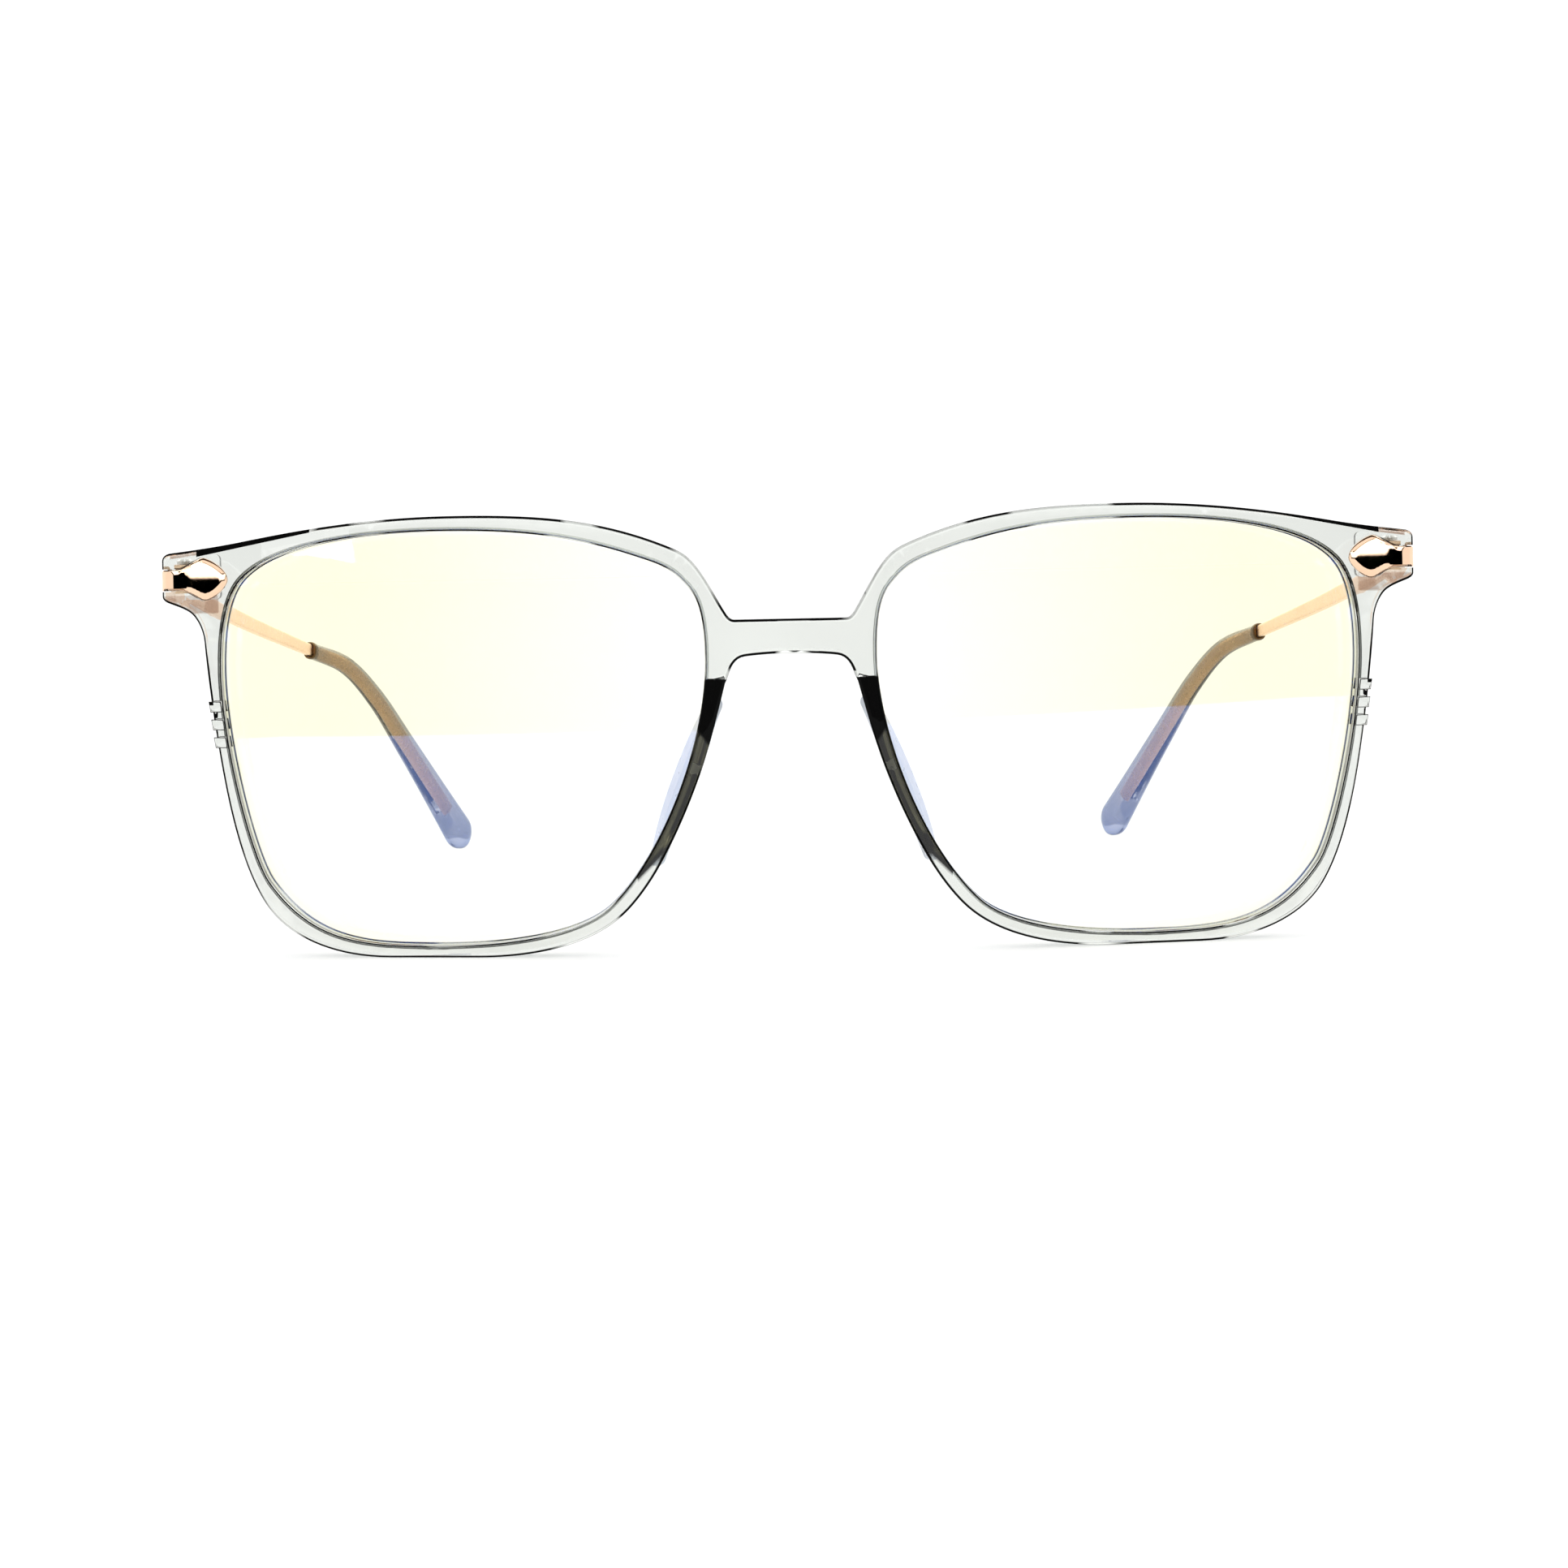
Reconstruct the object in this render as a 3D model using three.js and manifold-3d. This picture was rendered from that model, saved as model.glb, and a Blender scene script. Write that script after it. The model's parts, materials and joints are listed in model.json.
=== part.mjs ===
// Blue light glasses: clear square front, two lenses, pegged nose pads, metal corner trims, folding
// metal temples with clear tips. Millimetres, +Z up. The wearer looks toward -Y, the temples run to +Y,
// and the rims and the temple tips stand on z = 0.
import * as THREE from 'three';
import { mergeVertices } from 'three/addons/utils/BufferGeometryUtils.js';
import Manifold3D from 'manifold-3d';

const wasm = await Manifold3D();
wasm.setup();

// ---- driving dimensions -------------------------------------------------------------------------
const FACE_RADIUS = 250; // spherical curve of the front, about a 2 base lens
const FACE_CENTRE_Z = 24.5;

const RIM_DEPTH = 4.0; // front to back
const RIM_BEVEL = 0.3;
const LENS_THICK = 1.8;
const LENS_FRONT_Y = 1.3; // lens front face behind the rim's front face
const GROOVE_DEPTH = 0.45;
const FIT_GAP = 0.1;

const SEAT_Y = 14.4; // flat back of the end piece, where the hinge is screwed on
const END_X = 72.25; // outer side of the end piece
const SEAT_X = 65.3;
const SEAT_Z = [41.2, 46.4];

const BAND_Z = 43.55; // middle of the metal band
const BAND_HEIGHT = 2.4;
const TRIM_PROUD = 0.45;
const TRIM_SUNK = 0.85;
const TRIM_WRAP = 0.9;
const TRIM_X = END_X + 0.1; // outer side of the band

const HINGE_X = 69.6;
const HINGE_Y = 16.9;
const KNUCKLE_R = 1.2;
const KNUCKLE_H = 1.05;
const KNUCKLE_GAP = 0.08;
const HINGE_Z = 43.6; // middle of the middle knuckle
const PIN_R = 0.5;
const PIN_HOLE_R = 0.58;
const PIN_HEAD_R = 0.95;
const LEAF_THICK = 0.8;
const LEAF_SCREW_X = 66.9;
const LEAF_SCREW_Z = [42.75, 44.45];
const LEAF_SCREW_R = 0.48;
const LEAF_SCREW_HOLE_R = 0.56;
const LEAF_SCREW_HEAD_R = 0.65;

const ARM_X = 71.75; // at the hinge
const ARM_WIDTH = 1.0;
const ARM_HEIGHT = 2.4;
const ARM_NECK_HEIGHT = 1.65; // where the arm enters the tip
const CORE_WIDTH = 0.8;
const CORE_HEIGHT = 1.2;
const ARM_START_Y = SEAT_Y + 0.2;
const STRAP_LENGTH = 7.5; // of the hinge along the arm
const STRAP_HEIGHT = 1.25;
const COLLAR_WIDTH = 1.9;
const COLLAR_HEIGHT = 2.45;
const TIP_WIDTH = 1.75; // at the collar
const TIP_HEIGHT = 2.25;

const PAD_LENGTH = 21.4;
const PAD_REACH = 5.6;
const PAD_THICK = 1.7;
const PAD_SPLAY = THREE.MathUtils.degToRad(14);
const PAD_LEAN = THREE.MathUtils.degToRad(-68.5);
const RIDGE_BACK_Y = 5.6; // back of the ridge that the nose pad is pegged to
const PEG_R = 0.6;
const PEG_DEPTH = 1.6;
const PAD_CENTRE = [11.95, 19.15];
const PAD_PEG = [11.25, 21.2];

// ---- solids ----------------------------------------------------------------------------------------
function solid(geometry) {
  const bare = new THREE.BufferGeometry();
  bare.setAttribute('position', geometry.getAttribute('position'));
  if (geometry.index) bare.setIndex(geometry.index);
  const merged = mergeVertices(bare, 1e-5);
  const mesh = new wasm.Mesh({
    numProp: 3,
    vertProperties: new Float32Array(merged.getAttribute('position').array),
    triVerts: new Uint32Array(merged.index.array),
  });
  return new wasm.Manifold(mesh);
}

function shell(manifold) {
  const mesh = manifold.getMesh();
  const geometry = new THREE.BufferGeometry();
  geometry.setAttribute('position', new THREE.BufferAttribute(new Float32Array(mesh.vertProperties), 3));
  geometry.setIndex(new THREE.BufferAttribute(new Uint32Array(mesh.triVerts), 1));
  return geometry;
}

function joined(...solids) {
  return solids.reduce((whole, next) => whole.add(next));
}

function cut(body, ...tools) {
  return tools.reduce((whole, tool) => whole.subtract(tool), body);
}

// A front-view shape pushed along Y from y0 to y1, with a bevel on both faces.
function slab(shape, y0, y1, bevel = 0, divisions = 6) {
  const geometry = new THREE.ExtrudeGeometry(shape, {
    depth: y1 - y0 - 2 * bevel,
    bevelEnabled: bevel > 0,
    bevelThickness: bevel,
    bevelSize: bevel,
    bevelOffset: -bevel,
    bevelSegments: 1,
    curveSegments: divisions,
  });
  geometry.rotateX(Math.PI / 2);
  geometry.translate(0, y1 - bevel, 0);
  return solid(geometry);
}

function box(x0, x1, y0, y1, z0, z1) {
  const geometry = new THREE.BoxGeometry(x1 - x0, y1 - y0, z1 - z0);
  geometry.translate((x0 + x1) / 2, (y0 + y1) / 2, (z0 + z1) / 2);
  return solid(geometry);
}

// A turned solid about a vertical line, from [radius, z] points that start and end on the axis.
function turned(profile, x, y, sides = 20) {
  const points = profile.map(([r, z]) => new THREE.Vector2(r, z));
  const geometry = new THREE.LatheGeometry(points, sides);
  geometry.rotateX(Math.PI / 2);
  geometry.translate(x, y, 0);
  return solid(geometry);
}

function pin(radius, z0, z1, x, y, sides = 20) {
  return turned([[0, z0], [radius, z0], [radius, z1], [0, z1]], x, y, sides);
}

// The same, about a line along Y.
function stud(radius, y0, y1, x, z, sides = 16) {
  const geometry = new THREE.CylinderGeometry(radius, radius, y1 - y0, sides);
  geometry.translate(x, (y0 + y1) / 2, z);
  return solid(geometry);
}

// Bends a flat-laid solid onto the spherical face.
function bent(manifold) {
  const geometry = shell(manifold);
  const place = geometry.getAttribute('position');
  for (let i = 0; i < place.count; i += 1) {
    const rise = place.getZ(i) - FACE_CENTRE_Z;
    place.setY(i, place.getY(i) + (place.getX(i) ** 2 + rise ** 2) / (2 * FACE_RADIUS));
  }
  return solid(geometry);
}

function mirrored(manifold) {
  const geometry = shell(manifold);
  geometry.scale(-1, 1, 1);
  const index = geometry.index;
  for (let i = 0; i < index.count; i += 3) {
    const first = index.getX(i);
    index.setX(i, index.getX(i + 1));
    index.setX(i + 1, first);
  }
  return solid(geometry);
}

// ---- outlines, right half, seen from the front -----------------------------------------------------
// Each bend is [x, z, heading in degrees, handle before, handle after].
function route(bends, closed, divisions) {
  const path = new THREE.Path();
  path.moveTo(bends[0][0], bends[0][1]);
  const last = closed ? bends.length : bends.length - 1;
  for (let i = 0; i < last; i += 1) {
    const [ax, az, aHeading, , aAfter] = bends[i];
    const [bx, bz, bHeading, bBefore] = bends[(i + 1) % bends.length];
    const a = THREE.MathUtils.degToRad(aHeading);
    const b = THREE.MathUtils.degToRad(bHeading);
    if (aAfter === 0 && bBefore === 0) path.lineTo(bx, bz);
    else {
      path.bezierCurveTo(ax + aAfter * Math.cos(a), az + aAfter * Math.sin(a),
        bx - bBefore * Math.cos(b), bz - bBefore * Math.sin(b), bx, bz);
    }
  }
  const points = path.getPoints(divisions);
  if (closed) points.pop();
  return points;
}

const OPENING_BENDS = [
  [40, 48.55, 0, 9.1, 8.1],
  [62.6, 43.6, -44, 5.7, 1.2],
  [65.3, 33.0, -90, 7.5, 8.3],
  [60.3, 8.7, -125, 3.4, 8.3],
  [41, 1.4, 180, 8.9, 9.6],
  [20.8, 6.0, 136, 4.4, 8.4],
  [9.65, 33.8, 90, 9.1, 6.4],
  [12.0, 42.4, 48, 1.6, 2.2],
  [17.5, 45.35, 19, 2.6, 7.5],
];

const OUTER_BENDS = [
  [0, 38.0, 0, 0, 0],
  [6.3, 38.0, 0, 0, 0.4],
  [7.2, 38.7, 58, 0.4, 2.4],
  [10.9, 44.6, 48, 2.2, 1.3],
  [14.2, 46.6, 22, 1.8, 8],
  [38.5, 50.25, 0, 10, 9],
  [62.3, 47.9, -10, 7, 3],
  [71.2, 46.7, -6, 3, 0.6],
  [END_X, 45.8, -90, 0.5, 0],
  [END_X, 41.7, -90, 0, 0.4],
  [71.4, 40.9, -160, 0.4, 1],
  [68.9, 39.8, -145, 0.8, 0.8],
  [67.3, 36.4, -94, 1.6, 3],
  [66.0, 24.6, -98, 4, 6],
  [61.0, 6.2, -122, 5.5, 4],
  [46.5, 0, 180, 7.5, 0],
  [36, 0, 180, 0, 5.5],
  [18.9, 5.4, 134, 6, 5],
  [10.6, 20.1, 111, 5.5, 4],
  [7.1, 31.6, 106, 4, 1.1],
  [5.2, 33.8, 172, 1.1, 1],
  [0, 34.1, 180, 2, 0],
];

const TRIM_BENDS = [
  [TRIM_X, BAND_Z + BAND_HEIGHT / 2, 180, 0, 0],
  [70.3, BAND_Z + BAND_HEIGHT / 2, 180, 0, 0.7],
  [67.3, 46.1, 165, 1.2, 0.3],
  [64.35, 43.5, -90, 1.5, 0.6],
  [67.1, 41.2, 0, 1.2, 0.6],
  [69.8, BAND_Z - BAND_HEIGHT / 2, 0, 1, 0],
  [TRIM_X, BAND_Z - BAND_HEIGHT / 2, 0, 0, 0],
];

const opening = route(OPENING_BENDS, true, 5);
const outerHalf = route(OUTER_BENDS, false, 4);

// Moves every point of a clockwise loop away from its inside by a distance.
function grown(loop, distance) {
  return loop.map((point, i) => {
    const before = loop[(i + loop.length - 1) % loop.length];
    const after = loop[(i + 1) % loop.length];
    const along = after.clone().sub(before).normalize();
    return new THREE.Vector2(point.x - along.y * distance, point.y + along.x * distance);
  });
}

function flipped(points) {
  return points.map((point) => new THREE.Vector2(-point.x, point.y)).reverse();
}

// ---- front -----------------------------------------------------------------------------------------
function frontShape() {
  // The middle of the bridge's straight top is not a corner, so it is left out.
  const loop = [...outerHalf.slice(1), ...flipped(outerHalf).slice(1, -1)];
  const shape = new THREE.Shape(loop.reverse());
  shape.holes.push(new THREE.Path(opening), new THREE.Path(flipped(opening)));
  return shape;
}

// Three raised blocks across the outer side of the rim.
function notchBlocks() {
  const pitch = 2.05;
  const height = 1.25;
  return [0, 1, 2].map((row) => {
    const z = 24.9 + row * pitch;
    const outerX = 66.2 + row * 0.25;
    const slope = 0.2;
    const block = new THREE.Shape([
      new THREE.Vector2(outerX - 1.45, z - height / 2),
      new THREE.Vector2(outerX, z - height / 2),
      new THREE.Vector2(outerX + slope, z + height / 2),
      new THREE.Vector2(outerX - 1.45 + slope, z + height / 2),
    ]);
    return slab(block, -0.3, RIM_DEPTH + 0.1, 0.15);
  });
}

// The rim's nose side is deeper where the nose pad is pegged on.
function padRidge() {
  const deep = slab(frontShape(), RIM_DEPTH - 0.5, RIDGE_BACK_Y, 0);
  return deep.intersect(box(7.5, 16.2, 0, RIDGE_BACK_Y + 1, 11.6, 29.2));
}

function endBlock() {
  const low = SEAT_Z[0];
  const high = SEAT_Z[1];
  const corner = 0.5;
  const shape = new THREE.Shape([
    new THREE.Vector2(SEAT_X, low + corner),
    new THREE.Vector2(SEAT_X + corner, low),
    new THREE.Vector2(END_X - corner, low),
    new THREE.Vector2(END_X, low + corner),
    new THREE.Vector2(END_X, high - corner),
    new THREE.Vector2(END_X - corner, high),
    new THREE.Vector2(SEAT_X + corner, high),
    new THREE.Vector2(SEAT_X, high - corner),
  ]);
  return slab(shape, RIM_DEPTH - 1, RIM_DEPTH + 3.5);
}

function trimFlat(gap) {
  const loop = route(TRIM_BENDS, true, 5);
  const outline = gap > 0 ? grown(loop.slice().reverse(), gap) : loop;
  const plate = slab(new THREE.Shape(outline), -TRIM_PROUD, TRIM_SUNK + gap, gap > 0 ? 0 : 0.3);
  const half = BAND_HEIGHT / 2 + gap;
  const inner = TRIM_X - TRIM_WRAP - gap;
  const wrap = box(inner, TRIM_X, TRIM_SUNK - 0.6, 6, BAND_Z - half, BAND_Z + half);
  return plate.add(wrap);
}

function trimTool() {
  const beyond = box(END_X - 0.4, END_X + 2, -2, 7, BAND_Z - BAND_HEIGHT / 2 - FIT_GAP,
    BAND_Z + BAND_HEIGHT / 2 + FIT_GAP);
  const wrapInner = TRIM_X - TRIM_WRAP - FIT_GAP;
  return trimFlat(FIT_GAP).add(beyond.intersect(box(wrapInner, END_X + 3, -3, 8, 0, 60)));
}

function leafScrewHoles() {
  return LEAF_SCREW_Z.map((z) => stud(LEAF_SCREW_HOLE_R, SEAT_Y - 3, SEAT_Y + 3, LEAF_SCREW_X, z));
}

function frontFrame() {
  const half = [...notchBlocks(), padRidge(), endBlock()];
  const groove = slab(new THREE.Shape(grown(opening, GROOVE_DEPTH)), LENS_FRONT_Y - FIT_GAP,
    LENS_FRONT_Y + LENS_THICK + FIT_GAP);
  const pegHole = stud(PEG_R + 0.08, RIDGE_BACK_Y - PEG_DEPTH - 0.2, RIDGE_BACK_Y + 1, ...PAD_PEG);
  const blank = slab(frontShape(), 0, RIM_DEPTH, RIM_BEVEL);
  const added = half.flatMap((piece) => [piece, mirrored(piece)]);
  const tools = [groove, pegHole, trimTool()].flatMap((piece) => [piece, mirrored(piece)]);
  const curved = bent(cut(joined(blank, ...added), ...tools));
  const behindSeat = box(SEAT_X - 0.6, END_X + 5, SEAT_Y, SEAT_Y + 9, 39, 49);
  const seatCuts = [behindSeat, ...leafScrewHoles()];
  return cut(curved, ...seatCuts.flatMap((piece) => [piece, mirrored(piece)]));
}

// ---- lenses and nose pads --------------------------------------------------------------------------
function lens() {
  const across = 9;
  const sheet = new THREE.BoxGeometry(60, LENS_THICK, 50, across, 1, across);
  sheet.translate(38, LENS_FRONT_Y + LENS_THICK / 2, 25);
  const outline = new THREE.Shape(grown(opening, GROOVE_DEPTH - FIT_GAP));
  return bent(solid(sheet)).intersect(slab(outline, -5, 30));
}

function nosePad() {
  const shape = new THREE.Shape();
  const half = PAD_LENGTH / 2;
  shape.moveTo(-half, 0);
  shape.bezierCurveTo(-half, PAD_REACH * 0.55, -half * 0.6, PAD_REACH, 0, PAD_REACH);
  shape.bezierCurveTo(half * 0.6, PAD_REACH, half * 0.95, PAD_REACH * 0.4, half, 0);
  shape.closePath();
  const bevel = 0.4;
  const plate = new THREE.ExtrudeGeometry(shape, {
    depth: PAD_THICK - 2 * bevel,
    bevelThickness: bevel,
    bevelSize: bevel,
    bevelOffset: -bevel,
    bevelSegments: 2,
    curveSegments: 8,
  });
  plate.translate(0, 0, -(PAD_THICK / 2 - bevel));
  // Local x runs down the rim, local y to the back and outward, local z through the pad.
  const down = new THREE.Vector3(Math.cos(PAD_LEAN), 0, Math.sin(PAD_LEAN));
  const outward = new THREE.Vector3(-Math.sin(PAD_LEAN), 0, Math.cos(PAD_LEAN));
  const back = new THREE.Vector3(0, Math.cos(PAD_SPLAY), 0).addScaledVector(outward, Math.sin(PAD_SPLAY));
  const through = new THREE.Vector3().crossVectors(down, back);
  const seat = new THREE.Vector3(PAD_CENTRE[0], RIDGE_BACK_Y - 0.3, PAD_CENTRE[1]);
  plate.applyMatrix4(new THREE.Matrix4().makeBasis(down, back, through).setPosition(seat));
  const inFront = box(0, 30, 0, RIDGE_BACK_Y + 0.05, 0, 40);
  const peg = stud(PEG_R, RIDGE_BACK_Y - PEG_DEPTH, RIDGE_BACK_Y + 0.9, ...PAD_PEG, 14);
  return bent(joined(cut(solid(plate), inFront), peg));
}

// ---- metal corner trim and hinge -------------------------------------------------------------------
function cornerTrim() {
  const behind = box(60, 80, SEAT_Y - 0.05, 40, 30, 60);
  return cut(bent(trimFlat(0)), behind);
}

const KNUCKLE_STEP = KNUCKLE_H + KNUCKLE_GAP;
const HINGE_TOP = HINGE_Z + KNUCKLE_STEP + KNUCKLE_H / 2;
const HINGE_BOTTOM = HINGE_Z - KNUCKLE_STEP - KNUCKLE_H / 2;

function knuckle(z) {
  return pin(KNUCKLE_R, z - KNUCKLE_H / 2, z + KNUCKLE_H / 2, HINGE_X, HINGE_Y);
}

function pinHole() {
  return pin(PIN_HOLE_R, HINGE_BOTTOM - 1, HINGE_TOP + 1, HINGE_X, HINGE_Y, 16);
}

function frontLeaf() {
  const plate = box(SEAT_X + 0.3, HINGE_X + KNUCKLE_R, SEAT_Y + 0.02, SEAT_Y + LEAF_THICK,
    HINGE_BOTTOM, HINGE_TOP);
  const knuckles = [HINGE_Z - KNUCKLE_STEP, HINGE_Z + KNUCKLE_STEP].flatMap((z) => [
    knuckle(z),
    box(HINGE_X - KNUCKLE_R, HINGE_X + KNUCKLE_R, SEAT_Y + LEAF_THICK / 2, HINGE_Y,
      z - KNUCKLE_H / 2, z + KNUCKLE_H / 2),
  ]);
  return cut(joined(plate, ...knuckles), pinHole(), ...leafScrewHoles());
}

function templeLeaf() {
  const armFace = ARM_X - ARM_WIDTH / 2 - 0.12;
  const z0 = HINGE_Z - KNUCKLE_H / 2;
  const z1 = HINGE_Z + KNUCKLE_H / 2;
  const web = box(HINGE_X, armFace, HINGE_Y - 0.7, HINGE_Y + KNUCKLE_R, z0, z1);
  const strap = box(armFace - 0.7, armFace, HINGE_Y + KNUCKLE_R - 0.3, HINGE_Y + STRAP_LENGTH,
    z1 - 0.3 - STRAP_HEIGHT, z1 - 0.3);
  return cut(joined(knuckle(HINGE_Z), web, strap), pinHole());
}

function hingeScrew() {
  const profile = [[0, HINGE_BOTTOM + 0.1], [PIN_R, HINGE_BOTTOM + 0.1], [PIN_R, HINGE_TOP + 0.04],
    [PIN_HEAD_R, HINGE_TOP + 0.04], [PIN_HEAD_R, HINGE_TOP + 0.35], [PIN_HEAD_R - 0.25, HINGE_TOP + 0.55],
    [0, HINGE_TOP + 0.55]];
  const slot = box(HINGE_X - 0.13, HINGE_X + 0.13, HINGE_Y - 2, HINGE_Y + 2, HINGE_TOP + 0.3, HINGE_TOP + 1);
  return turned(profile, HINGE_X, HINGE_Y, 18).subtract(slot);
}

function leafScrew(z) {
  const face = SEAT_Y + LEAF_THICK + 0.03;
  const head = stud(LEAF_SCREW_HEAD_R, face, face + 0.45, LEAF_SCREW_X, z);
  const shank = stud(LEAF_SCREW_R, SEAT_Y - 2.8, face + 0.1, LEAF_SCREW_X, z);
  const slot = box(LEAF_SCREW_X - 2, LEAF_SCREW_X + 2, face + 0.22, face + 1, z - 0.11, z + 0.11);
  return joined(head, shank).subtract(slot);
}

// ---- temple ----------------------------------------------------------------------------------------
// Centre line of the right temple, from the hinge end back to the tip.
const templeLine = new THREE.CatmullRomCurve3([
  new THREE.Vector3(ARM_X, 13.2, 44.1),
  new THREE.Vector3(71.2, 50, 39.0),
  new THREE.Vector3(67.4, 92, 33.2),
  new THREE.Vector3(63.7, 102, 30.6),
  new THREE.Vector3(60.8, 111, 25.6),
  new THREE.Vector3(57.6, 122, 17.5),
  new THREE.Vector3(51.2, 142.9, 0.92),
], false, 'centripetal');
const COLLAR_AT = 0.557; // shares of the line's length
const COLLAR_LENGTH = 0.009;
const CORE_END_AT = 0.93;

// Sweeps an upright rounded section along part of the temple line. size(t) gives [width, height], with
// t from 0 to 1 along the part. A crowding above 1 brings the sections closer together near its end.
function swept(from, to, steps, size, sides = 12, squareness = 4, crowding = 1) {
  const place = [];
  const index = [];
  for (let i = 0; i <= steps; i += 1) {
    const t = 1 - (1 - i / steps) ** crowding;
    const u = from + (to - from) * t;
    const centre = templeLine.getPointAt(u);
    const along = templeLine.getTangentAt(u);
    const side = new THREE.Vector3().crossVectors(along, new THREE.Vector3(0, 0, 1)).normalize();
    const up = new THREE.Vector3().crossVectors(side, along);
    const [width, height] = size(t);
    for (let k = 0; k < sides; k += 1) {
      const angle = ((k + 0.5) / sides) * Math.PI * 2;
      const c = Math.cos(angle);
      const s = Math.sin(angle);
      const out = centre.clone();
      out.addScaledVector(side, Math.sign(c) * Math.abs(c) ** (2 / squareness) * (width / 2));
      out.addScaledVector(up, Math.sign(s) * Math.abs(s) ** (2 / squareness) * (height / 2));
      place.push(out.x, out.y, out.z);
    }
  }
  for (let i = 0; i < steps; i += 1) {
    for (let k = 0; k < sides; k += 1) {
      const a = i * sides + k;
      const b = i * sides + ((k + 1) % sides);
      index.push(a, b + sides, b, a, a + sides, b + sides);
    }
  }
  const last = steps * sides;
  for (let k = 1; k < sides - 1; k += 1) {
    index.push(0, k, k + 1);
    index.push(last, last + k + 1, last + k);
  }
  const geometry = new THREE.BufferGeometry();
  geometry.setAttribute('position', new THREE.Float32BufferAttribute(place, 3));
  geometry.setIndex(index);
  return solid(geometry);
}

function templeArm() {
  const bar = swept(0, COLLAR_AT + COLLAR_LENGTH, 12, (t) => [
    ARM_WIDTH, ARM_HEIGHT + (ARM_NECK_HEIGHT - ARM_HEIGHT) * t]);
  const core = swept(COLLAR_AT, CORE_END_AT, 14, () => [CORE_WIDTH, CORE_HEIGHT], 8, 2.5);
  const inFront = box(60, 80, 0, ARM_START_Y, 30, 60);
  return cut(bar.add(core), inFront);
}

// The tip widens towards its end, which is rounded.
function tipSection(t) {
  const nearEnd = Math.max(0, (t - 0.94) / 0.06);
  const rounding = Math.sqrt(1 - Math.min(nearEnd, 0.985) ** 2);
  const width = TIP_WIDTH + 1.2 * t + 1.25 * t ** 3;
  const height = TIP_HEIGHT + 2.2 * t + 1.2 * t ** 3;
  return [width * rounding, height * rounding];
}

function templeTip() {
  const start = COLLAR_AT + COLLAR_LENGTH + 0.0005;
  const sleeve = swept(start, 1, 26, tipSection, 14, 2.4, 1.6);
  const bore = swept(start - 0.01, CORE_END_AT + 0.006, 14, () => [CORE_WIDTH + 0.25, CORE_HEIGHT + 0.25], 8, 2.5);
  return sleeve.subtract(bore);
}

function tipCollar() {
  const ring = swept(COLLAR_AT, COLLAR_AT + COLLAR_LENGTH, 3, () => [COLLAR_WIDTH, COLLAR_HEIGHT], 14, 2.4);
  const hole = swept(COLLAR_AT - 0.01, COLLAR_AT + COLLAR_LENGTH + 0.01, 3,
    () => [ARM_WIDTH + 0.16, ARM_NECK_HEIGHT + 0.2]);
  return ring.subtract(hole);
}

// ---- assembly --------------------------------------------------------------------------------------
function material(color, options = {}) {
  return new THREE.MeshStandardMaterial({ color, roughness: 0.3, metalness: 0, ...options });
}

const clear = material(0xdfe4e2, { transparent: true, opacity: 0.55 });
const tinted = material(0xf4f1c8, { transparent: true, opacity: 0.35 });
const roseGold = material(0xd9a583, { metalness: 1, roughness: 0.25 });
const steel = material(0xb9b4ae, { metalness: 1, roughness: 0.35 });
const silicone = material(0xe6edf2, { transparent: true, opacity: 0.7 });

const PAIRED = [
  ['lens', lens(), tinted],
  ['nose_pad', nosePad(), silicone],
  ['corner_trim', cornerTrim(), roseGold],
  ['hinge_front_leaf', frontLeaf(), roseGold],
  ['leaf_screw_lower', leafScrew(LEAF_SCREW_Z[0]), steel],
  ['leaf_screw_upper', leafScrew(LEAF_SCREW_Z[1]), steel],
  ['hinge_screw', hingeScrew(), steel],
  ['hinge_temple_leaf', templeLeaf(), roseGold],
  ['temple_arm', templeArm(), roseGold],
  ['tip_collar', tipCollar(), roseGold],
  ['temple_tip', templeTip(), clear],
];

const glasses = new THREE.Group();
glasses.name = 'blue_light_glasses';

function place(name, manifold, look) {
  const geometry = shell(manifold).toNonIndexed();
  geometry.computeVertexNormals();
  const mesh = new THREE.Mesh(geometry, look);
  mesh.name = name;
  glasses.add(mesh);
}

place('front_frame', frontFrame(), clear);
for (const [name, manifold, look] of PAIRED) {
  place(`${name}_right`, manifold, look);
  place(`${name}_left`, mirrored(manifold), look);
}

// The origin is at the middle of the base.
const reach = new THREE.Box3().setFromObject(glasses);
const middleY = (reach.min.y + reach.max.y) / 2;
for (const mesh of glasses.children) mesh.geometry.translate(0, -middleY, 0);

export default glasses;
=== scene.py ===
import json
import math

import bmesh
import bpy
import numpy as np
from mathutils import Matrix, Vector
from mathutils.geometry import delaunay_2d_cdt


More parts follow.
